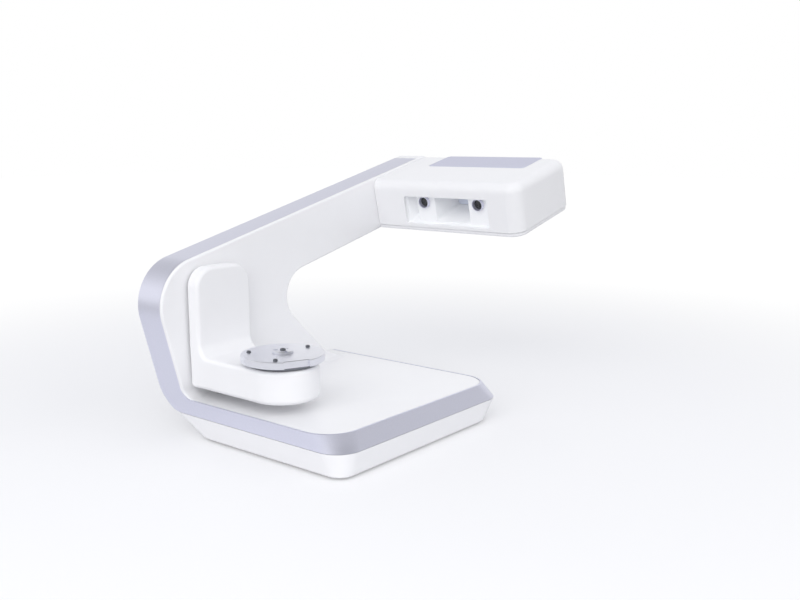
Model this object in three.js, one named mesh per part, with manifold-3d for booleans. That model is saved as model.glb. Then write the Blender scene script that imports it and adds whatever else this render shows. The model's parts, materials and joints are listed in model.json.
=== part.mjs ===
// Desktop 3D scanner: a C-shaped stand with a tilting turntable below and a
// cantilevered optical head above. Millimetres, x to the right, y to the back, z up.
// The model is laid out from the foot's front-left floor corner, and the whole
// group is then moved so that the origin is under the middle of its bounding box.

import * as THREE from 'three';
import { mergeVertices } from 'three/addons/utils/BufferGeometryUtils.js';
import Module from 'manifold-3d';

const wasm = await Module();
wasm.setup();
const { Manifold } = wasm;

// General sizes
const seam = 0.3;            // clearance between pieces that touch
const overrun = 6;           // how far a cutter runs past what it cuts
const wall = 2.5;            // moulded wall
const arcSteps = 5;          // facets of a rounded corner
const roundSides = 16;       // facets of a small turned piece

// Foot
const footWidth = 249;       // across the band's lower edge
const footFlare = 7;         // how far the front and right of the band slope in
const frontDepth = 198.6;    // from the foot's front to the upright wall
const floorGap = 2;          // underside of the pan above the floor
const bandBottom = 23.6;     // lower edge of the metal band
const bandHeight = 16.1;
const bandRadius = 25;       // plan corner at the band's lower edge
const topRadius = 32;        // plan corner at the band's upper edge
const panRadius = 15;        // plan corner at the pan's underside
const panTaper = 4.3;        // how far the pan draws in at its underside
const panEdge = 2;           // rounding of the pan's lower edge
const panRearTaper = 15;
const heelRadius = 25;       // round the lower back of the upright
const trimThickness = 2;
const trimCorner = 8;        // inner corner where the band turns up the wall
const cove = 10;             // fillet between the foot's top and the wall

// Upright wall and arm, as an outline seen from the front
const wallDepth = 36.4;
const leanStart = 30;        // height where the left edge starts to lean out
const leanBlend = 6;         // half of the height over which it starts
const lean = THREE.MathUtils.degToRad(15);
const armTilt = THREE.MathUtils.degToRad(14.2);
const diagonalTilt = THREE.MathUtils.degToRad(44.3);
const diagonalMargin = 36.6; // from the diagonal's foot to the right edge of the foot's top
const footBlendRadius = 80;
const throatRadius = 30;
const elbowRadius = 46;
const armEndRadius = 15;
const armLowerEndRadius = 6;
const trimEnd = 24;          // bare stretch between the trim's end and the arm's end

// Head, in its own tilted frame: u along the tilt, v across it
const headCornerX = 289.1;   // lower left corner of the head
const headCornerZ = 181.7;
const headWidth = 112.3;
const headHeight = 58;
const headFront = 7;
const headRadius = 6;
const headEdge = 4;
const headCoverHeight = 4;
const headCoverInset = 1.2;
const windowHeight = 32;
const windowBottom = 8.5;
const windowFront = 44.5;
const windowRadius = 3;
const insertDepth = 38;
const insertSetback = 3;
const towerWidth = 22;
const recessDepth = 14;
const recessLength = 15;     // sloped recess behind the rear camera
const funnelEndShare = 0.55;     // size of the funnel's inner end against its mouth
const cameraSpacing = 72;
const cameraHeight = 33.6;
const barrelRadius = 6.2;
const barrelLip = 4;
const glassRadius = 4.6;
const glassThickness = 1.6;
const glassSetback = 0.8;
const sensorSize = 26;
const sensorDepth = 24;
const projectorRadius = 9;
const projectorWidth = 34;
const benchThickness = 3;
const inlayLength = 131;
const inlayWidth = 45;
const inlayFront = 34;
const inlayThickness = 1.5;
const inlayMargin = 5;
const inlayRadius = 5;

// Tilting bracket
const swingX = 37.5;
const swingZ = 128;
const swingGap = 2.1;        // between the bracket's back and the wall
const bracketWidth = 67;
const bracketTop = 166;
const bracketBottom = 50;
const bracketTopRadius = 20;
const bracketEdge = 2.6;
const plateThickness = 13.5;
const platformTop = 81;
const platformReach = 125.5; // from the bracket's back to its round end
const platformEdge = 5;
const platformCove = 12;
const platformLip = 6;
const armPlate = 3;
const armPlateWidth = 46;
const backPlate = 2;

// Turntable
const tableRadius = 38.5;
const tableThickness = 6.6;
const tableChamfer = 0.6;
const platterRadius = 30;
const platterThickness = 3;
const platterGap = 0.7;      // running gap above the platform
const hubRadius = 10;
const spindleRadius = 4.7;
const tableBearingRadius = 11;
const tableBearingHeight = 6;
const notchWidth = 24;
const notchDepth = 4.5;
const notchAngle = THREE.MathUtils.degToRad(-110);
const studCircle = 31.5;
const studRadius = 2;
const studHeight = 1.6;
const studTurnShares = [0.353, 0.996, 0.594];
const clampRadius = 9.5;
const clampSeat = 0.8;       // depth of the disc's seat in the plate
const clampHeight = 3.1;
const clampSlot = 3;
const clampScrewRadius = 2.6;
const clampScrewHeight = 1.4;

// Table drive: a spur gear on the spindle and a pinion on the motor
const tableGearDiameter = 52;  // pitch circle of the gear on the spindle
const tableTeeth = 52;
const tablePinionTeeth = 16;
const tableFace = 5;
const tableMotorSize = 28;
const tableMotorHeight = 12.5;
const tableMotorShaft = 2.2;

// Swing drive: a spur gear on the swing shaft and a pinion on the motor
const swingModule = 1.25;
const swingTeeth = 60;
const swingPinionTeeth = 15;
const swingFace = 6;
const swingShaftRadius = 8;
const swingFlangeRadius = 14;
const swingFlange = 3;
const swingMotorSize = 35;
const swingMotorLength = 30;
const swingMotorShaft = 2.5;
const swingMotorAngle = THREE.MathUtils.degToRad(-60);
const motorPlate = 2.5;
const bearingWidth = 5;
const bearingRadius = 14;
const bearingSpacer = 1;
const carrierWall = 5;
const carrierFlange = 26;
const carrierFlangeThickness = 3;
const gearGap = 2;
const toothAddendumShare = 0.8;
const toothDedendumShare = 1.05;
const toothWidthShare = 0.46;
const meshSlack = 0.06;
const pressureAngle = THREE.MathUtils.degToRad(20);

// Frame, foot plate and board
const frameSheet = 3;
const frameSetback = 2.9;    // behind the wall's inner face
const frameMargin = 3;
const frameFootDepth = 50;
const frameKnee = 27;        // how far the frame steps forward above the pan
const frameFootMargin = 14;
const lighteningRadius = 15;
const lighteningShares = [0.113, 0.5]; // back from the head along the arm
const groundPlate = 3;
const groundMargin = 9;
const boardThickness = 1.6;
const boardWidth = 110;
const boardDepth = 90;
const boardStandoff = 6;
const standoffRadius = 3;
const chipSize = 22;
const chipHeight = 4;
const footPadRadius = 9;
const footStemRadius = 3;
const footPadMargin = 24;

// Rear cover and its connectors
const coverSheet = 2;
const coverInset = 0.6;      // behind the inner edges of the C
const coverEdgeInset = 3;    // further in along the trimmed edges
const bulgeDepth = 33;
const bulgeFlare = 10;
const bulgeRound = 3;
const bulgeRadius = 12;
const bulgeMargin = 7.5;     // room round the swing motor
const bulgeTopReach = 58.5;  // top right corner beside the swing axis
const bulgeTopRise = 24;     // top right corner above the swing axis
const bulgeShoulderRise = 8; // top left corner above the swing axis
const bulgeShoulder = 13.5;  // top left corner beside the swing axis
const bulgeSideShare = 0.65;     // of the room between the motor and the diagonal
const ventCount = 5;
const ventPitch = 5;
const ventHeight = 2.4;
const ventLength = 46;
const ventDrop = 14;         // lowest vent below the swing axis
const panelSideShare = 0.082;    // of the same room
const panelFoot = 4;         // above the bulge's lower edge
const panelWidth = 26;
const panelHeight = 38;
const panelSheet = 1.5;
const panelRecess = 1;
const inletRadius = 5.5;
const inletBore = 3.2;
const inletPin = 1;
const inletDepth = 12;
const portSize = 12;
const portWall = 1;
const portDepth = 12;
const rockerWidth = 13;
const rockerHeight = 9;
const rockerDepth = 5;
const rockerProud = 1.6;
const rockerBezel = 1.5;
const rockerTravel = THREE.MathUtils.degToRad(12);
const screwHeadRadius = 3.2;
const screwHeadHeight = 1.8;
const screwRadius = 1.5;
const screwClearance = 0.3;
const bossRadius = 4;
const screwDepth = 14;
const lowScrewHeight = 61.5;
const lowScrewInset = 14.6;
const lowScrewShare = 0.9;       // of the room between the motor and the diagonal
const armScrewShares = [[0.747, 0.781], [0.386, 0.526], [0.04, 0.52]]; // back from the head, and across

// Heights and depths that follow
const bandTop = bandBottom + bandHeight;
const wallBack = frontDepth + wallDepth;
const wallInside = frontDepth + wall;
const bracketBack = frontDepth - swingGap;
const bracketFront = bracketBack - plateThickness;
const tableY = bracketBack - platformReach + bracketWidth / 2;
const platterBottom = platformTop + platterGap;
const tableBottom = platterBottom + platterThickness + seam;
const tableTop = tableBottom + tableThickness;
const frameFront = wallInside + frameSetback;
const frameBack = frameFront + frameSheet;
const floorTop = floorGap + wall;
const tableModule = tableGearDiameter / tableTeeth;
const windowLength = insertSetback + towerWidth + cameraSpacing + recessLength;
const diagonalFoot = footWidth - footFlare - diagonalMargin;

// Materials, with colours as they look in plain light
const finish = (color, roughness, metalness) =>
  new THREE.MeshStandardMaterial({ color, roughness, metalness });
const whitePlastic = finish(0xeeeef4, 0.35, 0);
const silverTrim = finish(0xb9bac9, 0.35, 0.8);
const greyInlay = finish(0xb4b6c4, 0.4, 0.3);
const machined = finish(0xc6c7d6, 0.3, 0.9);
const castAluminium = finish(0x9a9ca3, 0.5, 0.8);
const darkSteel = finish(0x70737b, 0.45, 0.9);
const blackPlastic = finish(0x17181b, 0.5, 0);
const lensGlass = finish(0x0a0b12, 0.05, 0.1);
const boardGreen = finish(0x1f5a3a, 0.6, 0);
const rubber = finish(0x2b2c30, 0.9, 0);
const brass = finish(0xb99a55, 0.35, 0.9);

// Solids from three.js geometry, and back
function toSolid(geometry) {
  const bare = geometry.clone();
  for (const name of Object.keys(bare.attributes)) {
    if (name !== 'position') bare.deleteAttribute(name);
  }
  const merged = mergeVertices(bare, seam / 1000);
  const positions = merged.attributes.position.array;
  const index = [];
  for (let i = 0; i < merged.index.count; i += 3) {
    const [a, b, c] = [0, 1, 2].map((k) => merged.index.getX(i + k));
    if (a !== b && b !== c && c !== a) index.push(a, b, c);
  }
  let volume = 0;
  const at = (i) => new THREE.Vector3().fromArray(positions, i * 3);
  for (let i = 0; i < index.length; i += 3) {
    volume += at(index[i]).dot(at(index[i + 1]).cross(at(index[i + 2])));
  }
  if (volume < 0) index.reverse();
  return new Manifold(new wasm.Mesh({
    numProp: 3,
    vertProperties: new Float32Array(positions),
    triVerts: new Uint32Array(index),
  }));
}

function toGeometry(solid) {
  const { vertProperties, triVerts, numProp } = solid.getMesh();
  const geometry = new THREE.BufferGeometry();
  geometry.setAttribute('position', new THREE.BufferAttribute(new Float32Array(vertProperties), numProp));
  geometry.setIndex(new THREE.BufferAttribute(new Uint32Array(triVerts), 1));
  geometry.computeVertexNormals();
  return geometry;
}

const join = (first, ...rest) => rest.reduce((whole, part) => whole.add(part), first);
const cut = (first, ...rest) => rest.reduce((whole, part) => whole.subtract(part), first);

// Outlines: corners are [x, y, radius], counter-clockwise, and inset moves every
// edge inwards. An open outline keeps its two ends square to their edges.
function outline(corners, inset = 0, closed = true) {
  const count = corners.length;
  const points = corners.map(([x, y]) => new THREE.Vector2(x, y));
  const edges = points.map((point, i) => {
    const next = points[(i + 1) % count];
    const along = next.clone().sub(point).normalize();
    const inward = new THREE.Vector2(-along.y, along.x);
    return { from: point.clone().addScaledVector(inward, inset), along, inward };
  });
  const result = [];
  corners.forEach(([, , radius], i) => {
    const last = !closed && i === count - 1;
    const before = edges[(i - 1 + count) % count];
    const after = edges[i];
    if (!closed && i === 0) return result.push(after.from.clone());
    if (last) return result.push(points[i].clone().addScaledVector(before.inward, inset));
    const turn = before.along.cross(after.along);
    const corner = Math.abs(turn) < 1e-6 ? after.from.clone() : meet(before, after);
    if (!radius) return result.push(corner);
    const swing = Math.atan2(turn, before.along.dot(after.along));
    const rounded = Math.max(radius - Math.sign(turn) * inset, seam);
    const reach = rounded * Math.tan(Math.abs(swing) / 2);
    const centre = corner.clone().addScaledVector(before.along, -reach)
      .addScaledVector(before.inward, Math.sign(turn) * rounded);
    const spoke = before.inward.clone().multiplyScalar(-Math.sign(turn) * rounded);
    for (let k = 0; k <= arcSteps; k += 1) {
      result.push(centre.clone().add(spoke.clone().rotateAround(new THREE.Vector2(), swing * k / arcSteps)));
    }
  });
  return result;
}

// Where two lines, each given by a point and a direction, cross
function meet(one, two) {
  const gap = two.from.clone().sub(one.from);
  const t = gap.cross(two.along) / one.along.cross(two.along);
  return one.from.clone().addScaledVector(one.along, t);
}

const line = (x, y, angle) => ({
  from: new THREE.Vector2(x, y),
  along: new THREE.Vector2(Math.cos(angle), Math.sin(angle)),
});

const ribbon = (corners, outer, inner) =>
  [...outline(corners, outer, false), ...outline(corners, inner, false).reverse()];

// A loft through outlines of equal length, each at its own height
function loft(levels) {
  const count = levels[0].points.length;
  const positions = levels.flatMap(({ height, points }) => points.flatMap((p) => [p.x, p.y, height]));
  const index = [];
  for (let level = 0; level < levels.length - 1; level += 1) {
    for (let i = 0; i < count; i += 1) {
      const a = level * count + i;
      const b = level * count + (i + 1) % count;
      index.push(a, b, b + count, a, b + count, a + count);
    }
  }
  const top = (levels.length - 1) * count;
  for (const [a, b, c] of THREE.ShapeUtils.triangulateShape(levels[0].points, [])) index.push(a, c, b);
  for (const [a, b, c] of THREE.ShapeUtils.triangulateShape(levels.at(-1).points, [])) {
    index.push(top + a, top + b, top + c);
  }
  const geometry = new THREE.BufferGeometry();
  geometry.setAttribute('position', new THREE.Float32BufferAttribute(positions, 3));
  geometry.setIndex(index);
  return geometry;
}

// Outlines drawn in the x-y, x-z and y-z planes, carried along the third axis
const shapeOf = (points) => (Array.isArray(points) ? new THREE.Shape(points) : points);

function prism(points, length) {
  return new THREE.ExtrudeGeometry(shapeOf(points), {
    depth: length, bevelEnabled: false, curveSegments: arcSteps,
  });
}

const alongZ = (points, from, to) => toSolid(prism(points, to - from).translate(0, 0, from));
const alongY = (points, from, to) =>
  toSolid(prism(points, to - from).rotateX(Math.PI / 2).translate(0, to, 0));
const yzToWorld = new THREE.Matrix4().makeBasis(
  new THREE.Vector3(0, 1, 0), new THREE.Vector3(0, 0, 1), new THREE.Vector3(1, 0, 0),
);
const alongX = (points, from, to) =>
  toSolid(prism(points, to - from).translate(0, 0, from).applyMatrix4(yzToWorld));
const loftZ = (levels) => toSolid(loft(levels));
const loftY = (levels) =>
  toSolid(loft(levels.map(({ height, points }) => ({ height: -height, points }))).rotateX(Math.PI / 2));
const block = (x, y, z) => toSolid(
  new THREE.BoxGeometry(x[1] - x[0], y[1] - y[0], z[1] - z[0])
    .translate((x[0] + x[1]) / 2, (y[0] + y[1]) / 2, (z[0] + z[1]) / 2),
);

// Turned pieces: a profile of [radius, height] spun round the z or the y axis
function turned(profile, sides = roundSides) {
  return new THREE.LatheGeometry(profile.map(([r, h]) => new THREE.Vector2(r, h)), sides);
}
const turnedZ = (profile, x, y, sides) =>
  toSolid(turned(profile, sides).rotateX(Math.PI / 2).scale(1, -1, 1).translate(x, y, 0));
const turnedY = (profile, x, z, sides) => toSolid(turned(profile, sides).translate(x, 0, z));
const rod = (radius, from, to) => [[0, from], [radius, from], [radius, to], [0, to]];
const tube = (inner, outer, from, to) =>
  [[inner, from], [outer, from], [outer, to], [inner, to], [inner, from]];

const rectangle = (x0, x1, y0, y1, radius = 0) =>
  [[x0, y0, radius], [x1, y0, radius], [x1, y1, radius], [x0, y1, radius]];

// Spur gear outline: involute flanks above the base circle, straight below it
function gearPoints(teeth, toothModule, phase) {
  const pitch = toothModule * teeth / 2;
  const base = pitch * Math.cos(pressureAngle);
  const tip = pitch + toothModule * toothAddendumShare;
  const root = pitch - toothModule * toothDedendumShare;
  const roll = (r) => {
    const angle = Math.acos(Math.min(1, base / r));
    return Math.tan(angle) - angle;
  };
  const half = Math.PI * toothWidthShare / teeth + roll(pitch);
  const flank = [root, Math.max(base, root), tip];
  const points = [];
  for (let tooth = 0; tooth < teeth; tooth += 1) {
    const middle = phase + 2 * Math.PI * tooth / teeth;
    const rise = flank.map((r) => [r, middle - half + roll(Math.max(r, base))]);
    const fall = flank.map((r) => [r, middle + half - roll(Math.max(r, base))]).reverse();
    for (const [r, angle] of [...rise, ...fall]) {
      points.push(new THREE.Vector2(r * Math.cos(angle), r * Math.sin(angle)));
    }
  }
  return points.filter((p, i) => p.distanceTo(points[(i + 1) % points.length]) > seam / 10);
}

const moved = (points, x, y) => points.map((p) => p.clone().add(new THREE.Vector2(x, y)));

// The left edge leans out above the foot, with a smooth start
function leftEdge(z) {
  const above = z - (leanStart - leanBlend);
  if (above <= 0) return 0;
  if (above >= 2 * leanBlend) return -Math.tan(lean) * (z - leanStart);
  return -Math.tan(lean) * above * above / (4 * leanBlend);
}
const edgeSteps = 5;
const bandLevels = Array.from({ length: edgeSteps + 1 }, (_, i) => bandBottom + bandHeight * i / edgeSteps);

// Outline of the foot at a height share of the band
function footOutline(z, inset, rear = wallBack) {
  const share = (z - bandBottom) / bandHeight;
  const front = footFlare * share;
  const right = footWidth - footFlare * share;
  const radius = bandRadius + (topRadius - bandRadius) * share;
  return [[leftEdge(z), rear, 0], [leftEdge(z), front, radius], [right, front, radius], [right, rear, 0]];
}

// The arm's lower edge, the diagonal under it, and the corner where they meet
const underside = line(headCornerX, headCornerZ, armTilt);
const normal = new THREE.Vector2(-Math.sin(armTilt), Math.cos(armTilt));
const diagonal = line(diagonalFoot, bandTop, Math.PI - diagonalTilt);
const throat = meet(diagonal, underside);

// Outline of the wall and arm seen from the front; the left and top edges can be
// drawn in by themselves, because only they carry the trim.
function armCorners(edge = 0) {
  const topStart = underside.from.clone().addScaledVector(normal, headHeight + trimThickness - edge);
  const top = { from: topStart, along: underside.along };
  const endStart = underside.from.clone().addScaledVector(underside.along, headWidth);
  const end = { from: endStart, along: normal };
  const left = line(leftEdge(bandTop) + edge / Math.cos(lean), bandTop, Math.PI / 2 + lean);
  const right = footWidth - footFlare - edge;
  const lowerEnd = meet(underside, end);
  const upperEnd = meet(end, top);
  const elbow = meet(top, left);
  return [
    [edge, bandBottom, 0],
    [right, bandBottom, 0],
    [right, bandTop, 0],
    [diagonalFoot, bandTop, footBlendRadius],
    [throat.x, throat.y, throatRadius],
    [lowerEnd.x, lowerEnd.y, armLowerEndRadius],
    [upperEnd.x, upperEnd.y, armEndRadius - edge],
    [elbow.x, elbow.y, elbowRadius - edge],
    ...bandLevels.slice(1).reverse().map((z) => [leftEdge(z) + edge, z, 0]),
  ];
}

// The swing motor's place, and those of the cover's screws: two low on the wall
// and three along the arm, placed back from the head and across the arm
const swingDistance = swingModule * (swingTeeth + swingPinionTeeth) / 2 + meshSlack;
const swingMotorX = swingX + swingDistance * Math.cos(swingMotorAngle);
const swingMotorZ = swingZ + swingDistance * Math.sin(swingMotorAngle);
const motorRight = swingMotorX + swingMotorSize / 2;
const bulgeBottom = swingMotorZ - swingMotorSize / 2 - bulgeMargin;
const sideRoom = meet(diagonal, line(0, bulgeBottom, 0)).x - motorRight;
const armReach = headCornerX / Math.cos(armTilt);
const screwPlaces = [
  [leftEdge(lowScrewHeight) + lowScrewInset, lowScrewHeight],
  [motorRight + sideRoom * lowScrewShare, lowScrewHeight],
  ...armScrewShares.map(([back, across]) => underside.from.clone()
    .addScaledVector(underside.along, -back * armReach).addScaledVector(normal, across * headHeight).toArray()),
];

const edgeSeam = trimThickness + seam;
const wallCorners = armCorners(edgeSeam);
const tallest = headCornerZ + headWidth + headHeight;

// Side view of the upright: its lower back is rounded
function heelSide(inset) {
  const shape = new THREE.Shape();
  const centre = wallBack - heelRadius;
  shape.moveTo(-overrun, bandBottom - overrun);
  shape.lineTo(centre, bandBottom - overrun);
  shape.lineTo(centre, bandBottom + inset);
  shape.absarc(centre, bandBottom + heelRadius, heelRadius - inset, -Math.PI / 2, 0, false);
  return shape;
}
const heelTop = bandBottom + heelRadius;

function heelSolid(x0, x1) {
  const shape = heelSide(0);
  shape.lineTo(wallBack, tallest);
  shape.lineTo(-overrun, tallest);
  return alongX(shape, x0, x1);
}

// The room inside the upright, open at the back above the heel
function heelRoom(x0, x1) {
  const shape = heelSide(wall);
  shape.lineTo(wallBack + overrun, heelTop);
  shape.lineTo(wallBack + overrun, tallest);
  shape.lineTo(-overrun, tallest);
  return alongX(shape, x0, x1);
}
const farLeft = -headWidth;
const farRight = headCornerX + headWidth + overrun;

// Head frame: moves a solid drawn with u, y and v into the tilted head
const headMatrix = new THREE.Matrix4().makeRotationY(-armTilt).setPosition(headCornerX, 0, headCornerZ);
const toHead = (solid) => solid.transform(headMatrix.elements);

// Trim band: one strip that runs round the foot, turns up the wall's outer edge
// and follows the elbow and the top of the arm.
function trimBand() {
  const band = loftZ(bandLevels.map((z) => ({
    height: z, points: ribbon(footOutline(z), 0, trimThickness),
  })));
  const corners = armCorners();
  const [elbow] = corners.slice(7, 8);
  const upperEnd = corners[6];
  const along = new THREE.Vector2(upperEnd[0] - elbow[0], upperEnd[1] - elbow[1]);
  const share = 1 - trimEnd / along.length();
  const start = [elbow[0] + along.x * share, elbow[1] + along.y * share, 0];
  const rim = [start, ...corners.slice(7), corners[0]];
  const strip = alongY(ribbon(rim, 0, trimThickness), frontDepth - trimCorner, wallBack);
  const side = heelSide(0);
  side.lineTo(wallBack, tallest);
  side.lineTo(frontDepth, tallest);
  side.lineTo(frontDepth, bandTop + trimCorner);
  side.absarc(frontDepth - trimCorner, bandTop + trimCorner, trimCorner, 0, -Math.PI / 2, true);
  side.lineTo(-overrun, bandTop);
  return join(band, strip).intersect(alongX(side, farLeft, farRight));
}

// Front shell: the foot's top, the wall and the arm's front as one moulding,
// hollow behind, with the bosses that the rear cover's screws go into.
function frontShell() {
  const foot = loftZ(bandLevels.map((z) => ({ height: z, points: outline(footOutline(z), edgeSeam) })));
  const upright = alongY(outline(wallCorners), frontDepth, wallBack);
  const side = new THREE.Shape();
  side.moveTo(frontDepth + wall / 2, bandTop - wall);
  side.lineTo(frontDepth + wall / 2, bandTop + cove);
  side.lineTo(frontDepth, bandTop + cove);
  side.absarc(frontDepth - cove, bandTop + cove, cove, 0, -Math.PI / 2, true);
  side.lineTo(frontDepth - cove, bandTop - wall);
  const fillet = alongX(side, edgeSeam, footWidth - footFlare)
    .intersect(alongY(outline(wallCorners), frontDepth - cove, wallBack));
  const outside = join(foot, upright, fillet).intersect(heelSolid(farLeft, farRight));

  const footRoom = loftZ(bandLevels.map((z) => ({
    height: z - wall, points: outline(footOutline(z), edgeSeam + wall),
  })));
  const below = alongZ(outline(footOutline(bandBottom), edgeSeam + wall), bandBottom - overrun, bandBottom);
  const uprightRoom = alongY(outline(wallCorners, wall), wallInside, wallBack + overrun);
  const drop = block(
    [edgeSeam + wall, footWidth - footFlare - wall], [wallInside, wallBack], [bandBottom - overrun, bandTop],
  );
  const inside = join(footRoom, below, uprightRoom, drop).intersect(heelRoom(farLeft, farRight));
  const headDoor = toHead(alongY(
    outline(rectangle(headRadius + wall, headWidth - headRadius - wall,
      headRadius + wall + headCoverHeight, headHeight - headRadius - wall, headRadius)),
    frontDepth - overrun, wallInside + overrun / 2,
  ));
  const hubHole = turnedY(
    rod(swingFlangeRadius + 1.5 * swingGap, frontDepth - overrun, wallInside + overrun / 2), swingX, swingZ,
  );
  const bosses = screwPlaces.map(([x, z]) =>
    turnedY(rod(bossRadius, wallInside - wall / 2, wallBack), x, z, roundSides / 2));
  const bores = screwPlaces.map(([x, z]) => turnedY(
    rod(screwRadius + screwClearance, wallBack - screwDepth - screwClearance, wallBack + overrun),
    x, z, roundSides / 2,
  ));
  return cut(join(cut(outside, inside, headDoor, hubHole), ...bosses), ...bores);
}

// Pan: the lower half of the foot, drawn in towards the floor
function panCorners(share) {
  const taper = panTaper * (1 - share);
  const radius = panRadius + (bandRadius - panRadius) * share;
  const rear = wallBack - heelRadius + trimThickness - panRearTaper * (1 - share);
  return [
    [taper, rear, trimThickness], [taper, taper * 0.7, radius],
    [footWidth - taper, taper * 0.7, radius], [footWidth - taper, rear, trimThickness],
  ];
}
const panTop = bandBottom - seam;
const panHeight = panTop - floorGap;

function pan() {
  const levels = [[0, panEdge], [panEdge * 0.3, panEdge * 0.4], [panEdge, 0], [panHeight, 0]];
  const outside = loftZ(levels.map(([rise, inset]) => ({
    height: floorGap + rise, points: outline(panCorners(rise / panHeight), inset),
  })));
  const room = loftZ([[wall, wall + panEdge / 2], [panHeight + seam, wall]].map(([rise, inset]) => ({
    height: floorGap + rise, points: outline(panCorners(rise / panHeight), inset),
  })));
  const stems = footPlaces().map(([x, y]) =>
    turnedZ(rod(footStemRadius + seam, -overrun, floorTop + overrun), x, y, roundSides / 2));
  return cut(outside, room, ...stems);
}

function footPlaces() {
  const right = footWidth - footPadMargin;
  const rear = wallBack - heelRadius - panRearTaper - footPadMargin;
  return [[footPadMargin, footPadMargin], [right, footPadMargin], [right, rear], [footPadMargin, rear]];
}

// Foot pad: a rubber button with a stem that presses into the pan
const footPad = ([x, y]) => turnedZ([
  [0, 0], [footPadRadius * 0.9, 0], [footPadRadius, floorGap * 0.4], [footPadRadius, floorGap - seam],
  [footStemRadius, floorGap - seam], [footStemRadius, floorTop], [0, floorTop],
], x, y);

// Ground plate: the steel weight in the foot, with the board's standoffs
const groundTop = floorTop + seam + groundPlate;
const boardPlaces = rectangle(
  footWidth / 2 - boardWidth / 4, footWidth / 2 + boardWidth * 0.6, frameFootDepth, frameFootDepth + boardDepth * 0.8,
);
function groundPlateSolid() {
  const rear = wallBack - heelRadius - panRearTaper;
  const corners = rectangle(groundMargin, footWidth - groundMargin, groundMargin, rear - groundMargin, panRadius);
  const sheet = alongZ(outline(corners), floorTop + seam, groundTop);
  const posts = boardPlaces.map(([x, y]) =>
    turnedZ(rod(standoffRadius, groundTop - seam, groundTop + boardStandoff), x, y, roundSides / 2));
  return join(sheet, ...posts);
}

function mainBoard() {
  const bottom = groundTop + boardStandoff + seam;
  const [x0, y0] = boardPlaces[0];
  const [x1, y1] = boardPlaces[2];
  const edge = standoffRadius * 2;
  const sheet = block([x0 - edge, x1 + edge], [y0 - edge, y1 + edge], [bottom, bottom + boardThickness]);
  const chips = [0.2, 0.5, 0.8].map((share) => {
    const x = x0 + (x1 - x0) * share;
    const y = (y0 + y1) / 2;
    const size = chipSize * (0.6 + share / 2) / 2;
    return block([x - size, x + size], [y - size, y + size],
      [bottom + boardThickness / 2, bottom + boardThickness + chipHeight]);
  });
  return join(sheet, ...chips);
}

// Arm frame: a plate bent from sheet steel that stands on the ground plate, steps
// back over the pan's rear wall and follows the C up to the head. Round holes
// clear the bosses of the cover's screws.
function armFrame() {
  const shape = outline(wallCorners, wall + frameMargin);
  const across = [frameFootMargin, footWidth - frameFootMargin - footFlare];
  const bottom = groundTop + seam;
  const shelf = bandBottom + seam;
  const knee = frameBack - frameKnee;
  const bends = [
    block(across, [frameFront, frameBack], [shelf, bandTop - wall - frameMargin]),
    block(across, [knee - frameSheet, frameBack], [shelf, shelf + frameSheet]),
    block(across, [knee - frameSheet, knee], [bottom, shelf + frameSheet]),
    block(across, [knee - frameFootDepth, knee], [bottom, bottom + frameSheet]),
  ];
  const hole = (radius, x, z) => turnedY(rod(radius, frameFront - overrun, frameBack + overrun / 2), x, z);
  const lightening = lighteningShares.map((back) => {
    const middle = underside.from.clone().addScaledVector(underside.along, -back * armReach)
      .addScaledVector(normal, headHeight / 2);
    return hole(lighteningRadius, middle.x, middle.y);
  });
  const bosses = screwPlaces.map(([x, z]) => hole(bossRadius + 2 * screwClearance, x, z));
  return cut(
    join(alongY(shape, frameFront, frameBack), ...bends),
    hole(bearingRadius + seam, swingX, swingZ), ...lightening, ...bosses,
  );
}

// Swing axis: carrier, two bearings, shaft and gear, all round one line along y
const carrierFront = frameBack + seam;
const bearingStart = carrierFront + seam;
const carrierBack = bearingStart + 2 * bearingWidth + bearingSpacer + seam;
const swingGearFront = carrierBack + gearGap;
const swingGearBack = swingGearFront + swingFace;
const bearingCarrier = () => turnedY([
  [bearingRadius + seam, carrierFront], [carrierFlange, carrierFront],
  [carrierFlange, carrierFront + carrierFlangeThickness],
  [bearingRadius + carrierWall, carrierFront + carrierFlangeThickness],
  [bearingRadius + carrierWall, carrierBack], [bearingRadius + seam, carrierBack],
  [bearingRadius + seam, carrierFront],
], swingX, swingZ);
const swingBearing = (index) => {
  const start = bearingStart + index * (bearingWidth + bearingSpacer);
  return turnedY(tube(swingShaftRadius + seam, bearingRadius, start, start + bearingWidth), swingX, swingZ);
};
const shaftFront = bracketFront + wall + 2 * seam;
const armPlateFront = shaftFront;
const armPlateBack = armPlateFront + armPlate + seam;
const swingShaft = () => turnedY([
  [0, armPlateBack], [swingFlangeRadius, armPlateBack], [swingFlangeRadius, armPlateBack + swingFlange],
  [swingShaftRadius, armPlateBack + swingFlange], [swingShaftRadius, swingGearBack + seam],
  [0, swingGearBack + seam],
], swingX, swingZ);

function swingGear() {
  const teeth = moved(gearPoints(swingTeeth, swingModule, swingMotorAngle), swingX, swingZ);
  return cut(
    alongY(teeth, swingGearFront, swingGearBack),
    turnedY(rod(swingShaftRadius + seam, swingGearFront - overrun, swingGearBack + overrun), swingX, swingZ),
  );
}
const motorPlateFront = swingGearBack + seam;
const swingMotorFront = motorPlateFront + motorPlate + seam;
function swingPinion() {
  const facing = swingMotorAngle + Math.PI + Math.PI / swingPinionTeeth;
  const teeth = moved(gearPoints(swingPinionTeeth, swingModule, facing), swingMotorX, swingMotorZ);
  const axle = rod(swingMotorShaft, swingGearFront, swingMotorFront + swingMotorLength / 3);
  return join(
    alongY(teeth, swingGearFront, swingGearBack),
    turnedY(axle, swingMotorX, swingMotorZ, roundSides / 2),
  );
}
function squareMotor(half, chamfer) {
  return [[-half, -half, chamfer], [half, -half, chamfer], [half, half, chamfer], [-half, half, chamfer]];
}
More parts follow.
